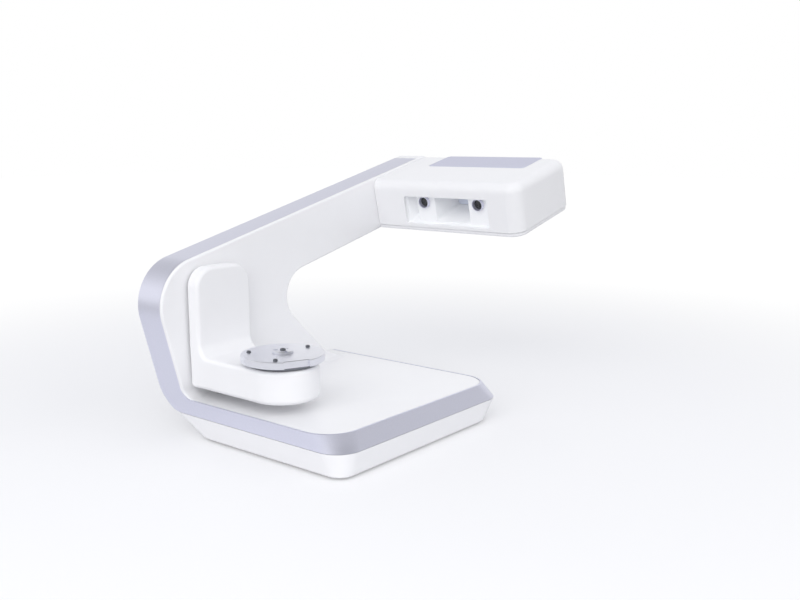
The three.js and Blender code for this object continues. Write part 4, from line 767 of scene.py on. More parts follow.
def band_skin():
    """The silver band: a ribbon between its front edge and its back edge.

    On the wall it lies behind the white lip, on the foot it is the sloping side, and
    between them its two edges are arcs seen from the side, the cove's and the heel's.
    """
    s, lines = settings().shell, Lines()
    behind = s.lip + SEAM
    places = [(0.0, s.band_edge), (BAND_ROUND, 0.0)] + [(w, 0.0) for w in np.linspace(0, 1, 9)[1:-1]]
    places += [(1 - BAND_ROUND, 0.0), (1.0, s.band_edge), (1.0, s.trim), (0.0, s.trim)]
    psi = np.linspace(0, QUARTER, TURN_STEPS + 1)[1:-1]
    radius = s.cove + behind * (1 - psi / QUARTER)
    rear = lines.wall_back - s.heel
    rows = []
    for w, inset in places:
        arm = arm_path(inset=inset)[TRIM_START:]
        low = mix(lines.band_top + s.cove, lines.heel_top, w)
        arm[-1] = [float(left_edge(low)) + inset / math.cos(s.lean), low]
        arm = spread(arm, mix(s.front_depth + behind, lines.wall_back, w), 1)
        y = mix(s.front_depth - s.cove + radius * np.cos(psi), rear + s.heel * np.cos(psi), w)
        z = mix(lines.band_top + s.cove - radius * np.sin(psi), lines.heel_top - s.heel * np.sin(psi), w)
        turn = np.stack([left_edge(z) + inset, y, z], 1)
        low = mix(lines.band_top, s.band_bottom, w)
        start = mix(s.front_depth - s.cove, rear, w)
        foot = spread(foot_path(low, inset, start, float(heel_y(low))), low)
        rows.append(np.concatenate([arm, turn, foot]))
    rows = np.array(rows + rows[:1])
    return Skin().grid(rows).cap(rows[:-1, 0]).cap(rows[:-1, -1])


def pan_skin():
    """The foot's white pan: plan outlines that draw in towards the floor, with a wall inside."""
    s, lines = settings().shell, Lines()
    height = s.band_bottom - SEAM - s.floor_gap
    insets, depths = rounding(s.pan_edge, 8)
    levels = list(zip(depths, insets)) + [(rise * height, 0.0) for rise in np.linspace(0.3, 1, 6)]
    levels += [(height, s.wall), (s.wall, s.wall + s.pan_edge / 2)]
    tapers = (s.pan_taper, s.pan_front_taper, s.pan_rear_taper)
    rows = []
    for rise, inset in levels:
        share = rise / height
        side, front, back = (taper * (1 - share) for taper in tapers)
        left, right = (mix(radius, s.band_radius, share) for radius in (s.pan_radius, s.pan_right_radius))
        rear = lines.wall_back - s.heel + s.trim - back
        tail = mix(s.pan_rear_radius, s.pan_edge, share)
        corners = [[side, rear, tail], [side, front, left], [s.foot_width - side, front, right],
                   [s.foot_width - side, rear, tail]]
        rows.append(spread(outline(corners, inset, FOOT_STEPS), s.floor_gap + rise))
    return Skin().solid(rows)


# Rear cover

def cover_skin():
    """The flat back of the C, with a rounded outer edge."""
    s, b, lines = settings().shell, settings().back, Lines()
    low = lines.heel_top + SEAM
    front = lines.wall_back + SEAM
    insets, depths = rounding(b.cover_edge, 4)
    levels = [(front, 0.0)] + [(front + b.sheet - d, i) for i, d in list(zip(insets, depths))[::-1]]
    widest = arm_path(inset=b.inset, trimmed=b.trim_inset)
    index = int(np.argmax(widest[:, 1] > low + b.cover_edge)) + 1
    rows = []
    for y, inset in levels:
        path = arm_path(inset=b.inset + inset, trimmed=b.trim_inset)
        level = low + inset
        over = int(np.argmax(path[:, 1] > level))
        below, above = path[over - 1], path[over]
        start = below + (above - below) * (level - below[1]) / (above[1] - below[1])
        end = [float(left_edge(level)) + (b.inset + b.trim_inset + inset) / math.cos(s.lean), level]
        rows.append(spread(np.concatenate([start[None], path[index:-1], [end]]), y, 1))
    return Skin().solid(rows)


VENTS = 5                # slots over each other in the drive housing
BULGE_STEPS = 14         # facets of its corners
FLARE_STEPS = 16         # facets of its flaring foot


def bulge_corners():
    """The drive housing's corners, seen from the front: round the motor, and up to the swing axis."""
    k, b = settings().bracket, settings().back
    return [
        [b.motor_right - b.motor_size - b.bulge_margin, b.bulge_bottom, b.bulge_radius],
        [b.motor_right + b.side_room * b.side_share, b.bulge_bottom, b.bulge_radius],
        [k.swing_x + b.bulge_right, k.swing_z + b.bulge_right_top, b.bulge_radius],
        [k.swing_x - b.bulge_left, k.swing_z + b.bulge_left_top, b.bulge_radius],
    ]


def bulge_skin(inward=0.0):
    """The drive housing: its outline flares out in a square law where it meets the cover.

    With a wall inward it is the hollow inside, which starts in front of the cover.
    """
    b = settings().back
    front = Lines().wall_back + SEAM
    deep = b.bulge_depth - SEAM
    start, stop = (-OVERRUN, deep - inward) if inward else (b.sheet / 2, deep - b.bulge_round)
    levels = [(mix(start, stop, part), inward - b.bulge_flare * (1 - part) ** 2)
              for part in np.linspace(0, 1, FLARE_STEPS + 1)]
    if not inward:
        insets, depths = rounding(b.bulge_round, 8)
        levels += [(deep - depth, inset) for inset, depth in list(zip(insets, depths))[-2::-1]]
    return Skin().solid([
        spread(outline(bulge_corners(), inset, BULGE_STEPS), front + depth, 1) for depth, inset in levels])


# Head

NOSE_STEPS = (14, 14, 0, 0)      # facets of the head's corners in plan
TOP_STEPS = 14           # facets of the rounding of its upper edges


def in_head(points):
    """From across, back and up in the head's tilted frame to the layout."""
    points = np.asarray(points, float)
    h, tilt = settings().head, settings().shell.arm_tilt
    u, y, v = points[..., 0], points[..., 1], points[..., 2]
    return np.stack([
        h.corner_x + u * math.cos(tilt) - v * math.sin(tilt), y,
        h.corner_z + u * math.sin(tilt) + v * math.cos(tilt)], -1)


def head_corners(back):
    """The head's corners in plan, open at the back."""
    h = settings().head
    return [[0, h.front, h.nose], [h.width, h.front, h.nose], [h.width, back, 0], [0, back, 0]]


def head_skin(inward=0.0):
    """The head's housing: plan outlines stacked up, each edge drawn in by its own quarter round.

    With a wall inward it is the hollow inside, which runs on into the arm.
    """
    s, h = settings().shell, settings().head
    low, top = (s.wall if inward else h.cover + SEAM), h.height
    right = s.arm_end - s.trim
    corners = head_corners(s.front_depth - SEAM + (OVERRUN if inward else 0.0))

    def drawn(height, radius):
        """How far an edge with this rounding stands in at a height."""
        over = np.clip(height - (top - radius), 0, radius)
        under = np.clip(low + h.low_edge - height, 0, h.low_edge)
        return radius - math.sqrt(radius ** 2 - over ** 2) \
            + h.low_edge - math.sqrt(h.low_edge ** 2 - under ** 2)

    turn = np.linspace(0, QUARTER, TOP_STEPS + 1)
    heights = np.concatenate([low + h.low_edge * np.array([0, 0.3, 1.0]), top - right * (1 - np.sin(turn))])
    rows = []
    for height in heights:
        left_inset, right_inset = drawn(height, h.edge) + inward, drawn(height, right) + inward
        plan = outline(corners, [left_inset, right_inset, 0, left_inset], NOSE_STEPS)
        rows.append(spread(plan, min(height, top - inward)))
    return Skin().solid(in_head(np.array(rows)))


def head_cover_skin():
    """The tray under the head: a plan outline with a rounded lower edge."""
    h = settings().head
    insets, depths = rounding(h.cover / 2, 6)
    corners = head_corners(settings().shell.front_depth - SEAM)
    rows = []
    for inset, height in [*zip(insets, depths), (0.0, h.cover)]:
        side = h.cover_inset + inset
        rows.append(spread(outline(corners, [side, side, inset, side], NOSE_STEPS), height))
    return Skin().solid(in_head(np.array(rows)))


def lathe(name, profile, y, slot, nodes):
    """A turned piece of a camera, whose axis lies across the head at a place along it."""
    skin = turned(profile, (0, y, settings().head.camera_height), 64, axis=0)
    skin.points = [in_head(points) for points in skin.points]
    piece(name, skin, "stand", slot, nodes)


# Bracket

PLATE_STEPS = 16         # facets of the plate's upper corners
NOSE_END_STEPS = 32      # facets of each half of the platform's round end
LOWER_STEPS = 8          # facets of the rounding of its lower edge


def bracket_frame():
    """The bracket's left and right, its back and face, and the middle of its cove."""
    k = settings().bracket
    back = settings().shell.front_depth - k.gap
    face = back - k.plate
    return k.swing_x - k.width / 2, k.swing_x + k.width / 2, back, face, face - k.cove, k.platform + k.cove


def bracket_plate(inset):
    """The upright plate's outline: up its right side, over the top and down its left."""
    k = settings().bracket
    left, right, _, _, _, low = bracket_frame()
    return outline([[right, low, 0], [right, k.top, k.corner], [left, k.top, k.corner], [left, low, 0]],
                   inset, PLATE_STEPS, closed=False)


def bracket_nose(inset):
    """The platform's outline in plan: along its left side, round its end and back on the right."""
    k = settings().bracket
    left, right, back, _, start, _ = bracket_frame()
    end, radius = back - k.reach, k.width / 2 - HAIR
    return outline([[left, start, 0], [left, end, radius], [right, end, radius], [right, start, 0]],
                   inset, NOSE_END_STEPS, closed=False)


def bracket_heel():
    """Width and height from the cove's centre to the back and the underside, and the two
    angles between which the rounded corner lies."""
    k = settings().bracket
    wide, tall = k.plate + k.cove, k.platform + k.cove - k.bottom
    return wide, tall, math.atan2(tall - k.heel, wide), math.atan2(tall, wide - k.heel)


def bracket_turn():
    """Angles from the plate round to the platform, closest at the rounded corner."""
    _, _, first, last = bracket_heel()
    regular = np.linspace(0, QUARTER, 13)[1:-1]
    clear = (regular < first - math.radians(1)) | (regular > last + math.radians(1))
    return np.sort(np.concatenate([regular[clear], np.linspace(first, last, 9)]))


def bracket_reach(psi):
    """From the cove's centre to the outer faces along each angle.

    On the rounded corner it is the far crossing with a circle of radius r about c, which
    is d.c + sqrt((d.c)^2 - |c|^2 + r^2) along a direction d.
    """
    wide, tall, first, last = bracket_heel()
    radius = settings().bracket.heel
    flat = np.minimum(wide / np.cos(psi), tall / np.sin(psi))
    x, z = wide - radius, tall - radius
    along = x * np.cos(psi) + z * np.sin(psi)
    arc = along + np.sqrt(np.clip(along ** 2 - x ** 2 - z ** 2 + radius ** 2, 0, None))
    return np.where((psi > first) & (psi < last), arc, flat)


def bracket_row(inset, depth, total=False):
    """One row of the bracket's rim, at an inset from its edge and a depth under its L-shaped face.

    It runs up the plate's right side, over the top, down the left side, through the cove,
    round the platform's end and back through the cove on the right. With total the depth
    is measured back from the far side. A pair holds the plate's value and the platform's.
    """
    k = settings().bracket
    left, right, back, face, cove_y, cove_z = bracket_frame()
    inset_plate, inset_nose = np.broadcast_to(inset, 2)
    depth_plate, depth_nose = np.broadcast_to(depth, 2)
    psi = bracket_turn()
    ease = smoothstep(psi / QUARTER)
    inset_turn = mix(inset_plate, inset_nose, ease)
    depth_turn = mix(depth_plate, depth_nose, ease)
    if total:
        plate_y, nose_z = back - depth_plate, k.bottom + depth_nose
        radius = bracket_reach(psi) - depth_turn
    else:
        plate_y, nose_z = face + depth_plate, k.platform - depth_nose
        radius = k.cove + depth_turn
    y, z = cove_y + radius * np.cos(psi), cove_z - radius * np.sin(psi)
    return np.concatenate([
        spread(bracket_plate(inset_plate), plate_y, 1),
        np.stack([left + inset_turn, y, z], 1),
        spread(bracket_nose(inset_nose), nose_z),
        np.stack([right - inset_turn, y, z], 1)[::-1]])


def bracket_skin():
    """The L-shaped bracket: rim, plate, cove and platform outside, the same walls inside."""
    k, wall = settings().bracket, settings().shell.wall
    plate_count, nose_count = len(bracket_plate(0)), len(bracket_nose(0))
    edges = np.array([k.back_edge, k.lower_edge])
    rows = [bracket_row(inset, depth) for inset, depth in zip(*rounding(k.edge, 8))]
    rows += [bracket_row(edges * (1 - math.cos(turn)), edges * (1 - math.sin(turn)), total=True)
             for turn in np.linspace(0, QUARTER, LOWER_STEPS + 1)]
    rows.append(bracket_row((wall, k.lip), 0.0, total=True))
    rows.append(bracket_row((wall, k.lip), k.lower_edge, total=True))
    rows.append(bracket_row(wall, k.lower_edge, total=True))
    rows.append(bracket_row(wall, wall))
    skin = Skin().grid(rows, wrap=True)
    nose_start = plate_count + len(bracket_turn())
    for row in (rows[0], rows[-1]):
        skin.cap(row[:plate_count]).cap(row[nose_start:nose_start + nose_count])
        left = row[plate_count - 1:nose_start + 1]
        right = np.concatenate([row[nose_start + nose_count - 1:], row[:1]])[::-1]
        skin.grid(np.stack([left, right]))
    return skin


def bracket_floor_skin():
    """The floor plate inside the platform's rim."""
    k = settings().bracket
    nose = bracket_nose(k.lip + SEAM)
    rear = bracket_frame()[2] - k.lip - SEAM
    loop = np.concatenate([[[nose[0, 0], rear]], nose, [[nose[-1, 0], rear]]])
    return Skin().solid([spread(loop, k.bottom + SEAM), spread(loop, k.bottom + SEAM + k.floor)])


# Turntable

STUD_TURNS = (0.353, 0.996, 0.594)   # where the studs stand, in turns round the spindle


def table_place():
    """The spindle's place: below the middle of the platform's round end."""
    k, s = settings().bracket, settings().shell
    return np.array([k.swing_x, s.front_depth - k.gap - k.reach + k.width / 2, 0.0])


def about_spindle(turn, radius):
    """A place on a circle round the spindle."""
    return table_place() + [radius * math.cos(turn), radius * math.sin(turn), 0]


def plate_skin():
    """The fixture plate: a round outline with a flat notch, drawn in at both rims by a quarter round."""
    t = settings().table
    top = t.bottom + t.thickness
    insets, depths = rounding(t.edge, 5)
    levels = [(t.bottom + d, i) for i, d in zip(insets, depths)]
    levels += [(top - d, i) for i, d in zip(insets[::-1], depths[::-1])]
    out, side = direction(t.notch_turn), direction(t.notch_turn + QUARTER)
    rows = []
    for height, inset in levels:
        radius, half = t.radius - inset, t.notch_width / 2 + inset
        start = math.asin(half / radius)
        turn = t.notch_turn + np.linspace(start, 2 * math.pi - start, 180)
        rim = radius * np.stack([np.cos(turn), np.sin(turn)], 1)
        floor = radius - t.notch_depth
        notch = np.array([out * floor - side * half, out * floor + side * half])
        rows.append(spread(np.concatenate([rim, notch]) + table_place()[:2], height))
    return Skin().solid(rows)


def slot_block(turn, near, far, width, low, high):
    """A block that lies along a radius of the turntable."""
    flat = np.array([[near, -width / 2], [far, -width / 2], [far, width / 2], [near, width / 2]])
    flat = flat @ np.array([direction(turn), direction(turn + QUARTER)]) + table_place()[:2]
    return Skin().solid([spread(flat, low), spread(flat, high)])


def platter_skin():
    """The driven platter under the fixture plate: a rounded disc on a bored hub."""
    t, k = settings().table, settings().bracket
    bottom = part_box("platter")[0].z
    bore_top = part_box("table_spindle")[1].z + SEAM
    low, high = t.platter_bottom, t.platter_bottom + t.platter_height
    outer = t.platter - t.edge
    bore = t.spindle + SEAM
    return turned([
        [0, bore_top], [bore, bore_top], [bore, bottom], [k.hub, bottom], [k.hub, low],
        *arc_profile(outer, low + t.edge, t.edge, 270, 360),
        *arc_profile(outer, high - t.edge, t.edge, 0, 90), [0, high]], table_place(), 128)


# Fittings

def screw_skin(name):
    """A cover screw on its node's axis: shank, domed head and a hexagonal socket.

    A hexagon with its flats at a distance f has the radius f / cos(turn mod 60 - 30 degrees).
    """
    b = settings().back
    low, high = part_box(name)
    head = (high.x - low.x) / 2
    centre = np.array([(low.x + high.x) / 2, 0.0, (low.z + high.z) / 2]) - ORIGIN * [1, 0, 1]
    start, top = low.y - ORIGIN[1], high.y - ORIGIN[1]
    under = top - b.screw_head
    turn = np.linspace(0, 2 * math.pi, 48, endpoint=False)
    hexagon = b.socket / np.cos(turn % (math.pi / 3) - math.pi / 6)
    rounded = b.screw_head / 2
    rows = [(b.shank, start), (b.shank, under), (head, under)]
    rows += arc_profile(head - rounded, top - rounded, rounded, 0, 90, 6)
    rows = [(np.full(len(turn), r), y) for r, y in rows] + [(hexagon, top), (hexagon, top - b.socket_depth)]
    return Skin().solid(np.array([
        np.stack([r * np.cos(turn), np.full(len(turn), y), r * np.sin(turn)], 1) + centre for r, y in rows]))


def pad_skin(name):
    """A rubber foot with a rounded edge, and the stem that holds it in the pan."""
    b, s = settings().back, settings().shell
    low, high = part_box(name)
    radius = (high.x - low.x) / 2
    centre = np.array([(low.x + high.x) / 2, (low.y + high.y) / 2, 0.0]) - ORIGIN
    top, soft = s.floor_gap - SEAM, b.pad_edge
    return turned([
        [0, 0], *arc_profile(radius - soft, soft, soft, 270, 360), [radius, top], [b.pad_stem, top],
        [b.pad_stem, high.z], [0, high.z]], centre, 64)


# Materials

RING_SPACING = 0.314     # distance between a wave texture's rings at a scale of 1


def node(tree, kind, inputs=None, **values):
    """Adds a node with its properties, and sets or links its inputs."""
    made = tree.nodes.new(kind)
    for name, value in values.items():
        setattr(made, name, value)
    for name, value in (inputs or {}).items():
        if isinstance(value, bpy.types.NodeSocket):
            tree.links.new(value, made.inputs[name])
        else:
            made.inputs[name].default_value = value
    return made


def new_finish(name):
    """An empty material and its node tree."""
    made = bpy.data.materials.new(name)
    made.use_nodes = True
    made.node_tree.nodes.clear()
    return made, made.node_tree


def finish_of(tree, base, roughness, normal=None, **sockets):
    """Closes a finish: one principled shader with its constant sockets, and the output."""
    inputs = {"Base Color": base, "Roughness": roughness}
    inputs.update({key.replace("_", " "): value for key, value in sockets.items()})
    if normal is not None:
        inputs["Normal"] = normal
    shader = node(tree, "ShaderNodeBsdfPrincipled", inputs)
    node(tree, "ShaderNodeOutputMaterial", {"Surface": shader.outputs[0]})


def shade(rgb, factor):
    """A colour made brighter or darker, with its alpha."""
    return (*[min(1.0, part * factor) for part in list(rgb)[:3]], 1.0)


def mottle(tree, size, detail=3.0):
    """Noise whose blotches have a real size in metres, read from object coordinates."""
    place = node(tree, "ShaderNodeTexCoord").outputs["Object"]
    noise = node(tree, "ShaderNodeTexNoise", {"Vector": place, "Scale": 1 / size, "Detail": detail})
    return noise.outputs["Fac"]


def tinted(tree, noise, rgb, tint):
    """A colour that a noise makes darker and brighter by a share."""
    mixed = node(tree, "ShaderNodeMix", {
        "Factor": noise, "A": shade(rgb, 1 - tint), "B": shade(rgb, 1 + tint)}, data_type="RGBA")
    return mixed.outputs["Result"]


def roughened(tree, noise, roughness, sheen):
    """A roughness that a noise takes down and up by a share."""
    ranged = node(tree, "ShaderNodeMapRange", {
        "Value": noise, "To Min": roughness * (1 - sheen), "To Max": roughness * (1 + sheen)})
    return ranged.outputs["Result"]


def bumped(tree, height, depth, strength=0.5):
    """The normal of a surface whose height varies by a depth."""
    bump = node(tree, "ShaderNodeBump", {"Height": height, "Distance": depth, "Strength": strength})
    return bump.outputs["Normal"]


def moulded(name, rgb, roughness, blotch=18 * MM, peel=0.9 * MM, depth=0.02 * MM, tint=0.012, sheen=0.08,
            **sockets):
    """Moulded plastic: faint cloudiness from the melt, and the shallow orange peel of the tool."""
    made, tree = new_finish(name)
    cloud = mottle(tree, blotch)
    normal = bumped(tree, mottle(tree, peel, 1.0), depth)
    rough = roughened(tree, cloud, roughness, sheen)
    finish_of(tree, tinted(tree, cloud, rgb, tint), rough, normal, **sockets)
    return made


def metal(name, rgb, roughness, grain=1.2 * MM, depth=0.02 * MM, tint=0.04, sheen=0.15, metallic=1.0):
    """Bare or lacquered metal: a fine grain, seen as bump and sheen."""
    made, tree = new_finish(name)
    noise = mottle(tree, grain, 2.0)
    finish_of(tree, tinted(tree, noise, rgb, tint), roughened(tree, noise, roughness, sheen),
              bumped(tree, noise, depth), Metallic=metallic)
    return made


def turned_metal(name, rgb, roughness, centre, pitch=0.5 * MM, depth=0.006 * MM, tint=0.03, sheen=0.15):
    """Turned aluminium: fine rings of the lathe tool round the spindle, on faces that look up."""
    made, tree = new_finish(name)
    place = node(tree, "ShaderNodeTexCoord").outputs["Object"]
    offset = node(tree, "ShaderNodeMapping", {"Vector": place, "Location": tuple(-centre)})
    rings = node(tree, "ShaderNodeTexWave", {
        "Vector": offset.outputs["Vector"], "Scale": RING_SPACING / pitch, "Distortion": 0.0},
        wave_type="RINGS", rings_direction="Z")
    facing = node(tree, "ShaderNodeSeparateXYZ", {
        "Vector": node(tree, "ShaderNodeNewGeometry").outputs["Normal"]})
    height = node(tree, "ShaderNodeMath", {0: rings.outputs["Fac"], 1: facing.outputs["Z"]},
                  operation="MULTIPLY").outputs[0]
    finish_of(tree, tinted(tree, mottle(tree, 6 * MM), rgb, tint), roughened(tree, height, roughness, sheen),
              bumped(tree, height, depth, 0.4), Metallic=1.0)
    return made


FINISHES = {}


def finish(name):
    """A finish by its slot's name, made once."""
    if not FINISHES:
        f = settings().finish
        FINISHES.update({
            # Gloss white ABS, injection moulded: bright, with soft wide highlights
            "white_plastic": moulded("gloss_white_abs", f.shell, 0.3, IOR=1.53),
            # White matt ABS of the window's well, which scatters the projector's stray light
            "matt_white": moulded("matt_white_abs", linear("#fbfcfe"), 0.55, tint=0.005, IOR=1.53),
            # Silver lacquer on a moulded band: bright, slightly blurred reflections
            "silver_trim": metal("silver_lacquer", f.silver, 0.34, metallic=0.85),
            # Grey satin lacquer
            "grey_inlay": metal("grey_satin_lacquer", f.inlay, 0.38, metallic=0.35),
            # Turned and clear anodised aluminium
            "machined_aluminium": turned_metal("turned_aluminium", f.plate, 0.3, table_place() + ORIGIN),
            # Die-cast aluminium: coarse and dull
            "cast_aluminium": metal("cast_aluminium", linear("#a8aab0"), 0.55, 2 * MM, 0.06 * MM),
            # Ground bearing steel
            "bearing_steel": metal("ground_bearing_steel", linear("#c4c6cc"), 0.22),
            # Mild steel, zinc plated
            "steel": metal("zinc_plated_steel", linear("#8c8f96"), 0.4),
            # Free-cutting brass
            "brass": metal("turned_brass", linear("#c8a860"), 0.32),
            # Black ABS
            "black_plastic": moulded("black_abs", linear("#1b1c20"), 0.42, IOR=1.53),
            # Black baked paint of the motors' cans
            "motor_black": moulded("baked_black_paint", linear("#222326"), 0.5, peel=1.6 * MM),
            # Coated lens glass, dark inside
            "lens_glass": moulded(
                "coated_lens_glass", linear("#07080d"), 0.04, depth=0.0, IOR=1.52, Coat_Weight=0.5),
            # Frosted, blue-coated glass in front of the projector
            "projector_glass": moulded("frosted_coated_glass", linear("#dfe5f4"), 0.25, depth=0.0, IOR=1.52),
            # Epoxy circuit board with solder mask
            "circuit_board": moulded("green_solder_mask", linear("#1d5c3c"), 0.35, blotch=3 * MM, tint=0.1),
            # Natural rubber, matt
            "rubber": moulded("black_rubber", linear("#2b2c30"), 0.85),
        })
    return FINISHES[name]


# Stage

WALL_FADE = (-0.7, 0.3)      # y of a ray's direction where the room starts to turn white, and is white
CEILING_FADE = (0.36, 0.8)   # z of a ray's direction where the ceiling starts, and is at its darkest
AMBIENT_COLOUR = linear("#eef0f6")
LAMP_COLOUR = (1.0, 0.992, 0.975)
LAMP_TARGET = Vector((0, 0, 0.1))


def rays(tree, path, *kinds):
    """1 for rays of any of the kinds, and otherwise 0."""
    value = path.outputs[kinds[0]]
    for kind in kinds[1:]:
        larger = node(tree, "ShaderNodeMath", {0: value, 1: path.outputs[kind]}, operation="MAXIMUM")
        value = larger.outputs[0]
    return value


def build_camera():
    """The camera, which looks along its azimuth and down from the level."""
    g, scene = settings().stage, bpy.context.scene
    back = Vector((math.sin(g.camera_turn) * math.cos(g.camera_drop),
                   -math.cos(g.camera_turn) * math.cos(g.camera_drop), math.sin(g.camera_drop)))
    data = bpy.data.cameras.new("camera")
    data.lens, data.sensor_width = g.lens, SENSOR_WIDTH
    camera = bpy.data.objects.new("camera", data)
    camera.location = g.camera_place
    camera.rotation_mode = "QUATERNION"
    camera.rotation_quaternion = (-back).to_track_quat("-Z", "Y")
    scene.collection.objects.link(camera)
    scene.camera = camera


def build_floor():
    """Matt white floor paint, which keeps the shadow and fades to plain white further away."""
    g = settings().stage
    made, tree = new_finish("matt_white_floor")
    path = node(tree, "ShaderNodeLightPath")
    seen = rays(tree, path, "Is Camera Ray", "Is Transmission Ray")
    place = node(tree, "ShaderNodeTexCoord").outputs["Object"]
    away = node(tree, "ShaderNodeVectorMath", {"Vector": place}, operation="LENGTH")
    glow = node(tree, "ShaderNodeMapRange", {
        "Value": away.outputs["Value"], "From Min": g.floor_near, "From Max": g.floor_far,
        "To Min": g.floor_glow, "To Max": 1.0}, interpolation_type="SMOOTHSTEP")
    base = node(tree, "ShaderNodeMix", {
        "Factor": glow.outputs["Result"], "A": shade(settings().finish.floor, 1.0), "B": (0, 0, 0, 1)},
        data_type="RGBA")
    dimmed = node(tree, "ShaderNodeMath", {0: path.outputs["Is Glossy Ray"], 1: g.room_grey},
                  operation="MULTIPLY")
    seen = node(tree, "ShaderNodeMath", {0: seen, 1: dimmed.outputs[0]}, operation="MAXIMUM")
    shown = node(tree, "ShaderNodeMath", {0: seen.outputs[0], 1: glow.outputs["Result"]},
                 operation="MULTIPLY")
    finish_of(tree, base.outputs["Result"], roughness=0.9, Emission_Color=(1, 1, 1, 1),
              Emission_Strength=shown.outputs[0], Specular_IOR_Level=0.1)
    size = g.floor_size
    corners = [(-size, -size, 0), (size, -size, 0), (size, size, 0), (-size, size, 0)]
    mesh = bpy.data.meshes.new("floor")
    mesh.from_pydata(corners, [], [(0, 1, 2, 3)])
    mesh.materials.append(made)
    floor = bpy.data.objects.new("floor", mesh)
    bpy.context.scene.collection.objects.link(floor)


def build_world():
    """White for the camera, soft light from all around, and a studio room in reflections."""
    g = settings().stage
    world = bpy.data.worlds.new("studio")
    bpy.context.scene.world = world
    world.use_nodes = True
    tree = world.node_tree
    tree.nodes.clear()
    path = node(tree, "ShaderNodeLightPath")
    seen = rays(tree, path, "Is Camera Ray", "Is Glossy Ray", "Is Transmission Ray")
    plain = rays(tree, path, "Is Camera Ray", "Is Transmission Ray")
    look = node(tree, "ShaderNodeTexCoord").outputs["Generated"]
    way = node(tree, "ShaderNodeSeparateXYZ", {"Vector": look})
    walls = node(tree, "ShaderNodeMapRange", {
        "Value": way.outputs["Y"], "From Min": WALL_FADE[0], "From Max": WALL_FADE[1],
        "To Min": g.room_grey, "To Max": 1.0})
    ceiling = node(tree, "ShaderNodeMapRange", {
        "Value": way.outputs["Z"], "From Min": CEILING_FADE[0], "From Max": CEILING_FADE[1],
        "To Min": 1.0, "To Max": g.ceiling_grey})
    room = node(tree, "ShaderNodeMath", {0: walls.outputs["Result"], 1: ceiling.outputs["Result"]},
                operation="MULTIPLY")
    level = node(tree, "ShaderNodeMix", {"Factor": plain, "A": room.outputs[0], "B": 1.0}, data_type="FLOAT")
    soft = node(tree, "ShaderNodeBackground", {"Color": AMBIENT_COLOUR, "Strength": g.ambient})
    white = node(tree, "ShaderNodeBackground", {"Color": (1, 1, 1, 1), "Strength": level.outputs["Result"]})
    shader = node(tree, "ShaderNodeMixShader", {0: seen, 1: soft.outputs[0], 2: white.outputs[0]})
    node(tree, "ShaderNodeOutputWorld", {"Surface": shader.outputs[0]})


def build_lamps():
    """Four soft round lamps. They light the scanner, but its gloss doesn't mirror them."""
    g = settings().stage
    for name, place, size, energy in (
            ("key_light", (-1.5, -0.55, 0.95), 2.2, g.key), ("front_light", (0.3, -1.6, 0.95), 2.0, g.fill),
            ("top_light", (0.1, -0.1, 1.9), 1.2, g.top), ("rear_light", (0.1, 1.9, 0.5), 1.1, g.rear)):
        data = bpy.data.lights.new(name, "AREA")
        data.shape, data.size, data.energy = "DISK", size, energy
        data.color = LAMP_COLOUR
        light = bpy.data.objects.new(name, data)
        light.location = place
        light.visible_glossy = False
        light.rotation_mode = "QUATERNION"
        light.rotation_quaternion = (LAMP_TARGET - Vector(place)).to_track_quat("-Z", "Y")
        bpy.context.scene.collection.objects.link(light)


# Operators

class SCANNER_OT_shell(bpy.types.Operator):
    """Front shell with its foot, wall and arm"""
    bl_idname = "scanner.shell"
    bl_label = "Front shell"

    def execute(self, context):
        piece("front_shell_moulding", shell_skin(), "stand", "white_plastic", ["front_shell"])
        return {"FINISHED"}


class SCANNER_OT_band(bpy.types.Operator):
    """Silver band round the foot and along the wall and arm"""
    bl_idname = "scanner.band"
    bl_label = "Silver band"

    def execute(self, context):
        piece("silver_band", band_skin(), "stand", "silver_trim", ["trim_band"])
        return {"FINISHED"}


class SCANNER_OT_pan(bpy.types.Operator):
    """White pan under the band"""
    bl_idname = "scanner.pan"
    bl_label = "Foot pan"

    def execute(self, context):
        piece("foot_pan", pan_skin(), "stand", "white_plastic", ["base_pan"])
        return {"FINISHED"}


class SCANNER_OT_cover(bpy.types.Operator):
    """Rear cover with its drive housing, vents and connector opening"""
    bl_idname = "scanner.cover"
    bl_label = "Rear cover"

    def execute(self, context):
        s, k, b = settings().shell, settings().bracket, settings().back
        rear = Lines().wall_back + b.bulge_depth
        near, far = rear - 2 * s.wall, rear + OVERRUN
        lowest = k.swing_z - b.vent_drop
        round_end = b.vent_height / 2.2     # a little under half, so that an end's arcs don't meet
        vents = [prism(box_corners(k.swing_x, k.swing_x + b.vent_length, z, z + b.vent_height, round_end),
                       near, far, 1) for z in lowest + b.vent_pitch * np.arange(VENTS)]
        low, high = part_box("connector_panel")
        left, right = low.x - ORIGIN[0] - SEAM, high.x - ORIGIN[0] + SEAM
        opening = prism(box_corners(left, right, low.z - SEAM, high.z + SEAM, s.wall / 2), near, far, 1)
        piece("back_cover", cover_skin(), "stand", "white_plastic", ["rear_cover"], joins=[bulge_skin()],
              cuts=[bulge_skin(s.wall), opening, *vents])
        return {"FINISHED"}


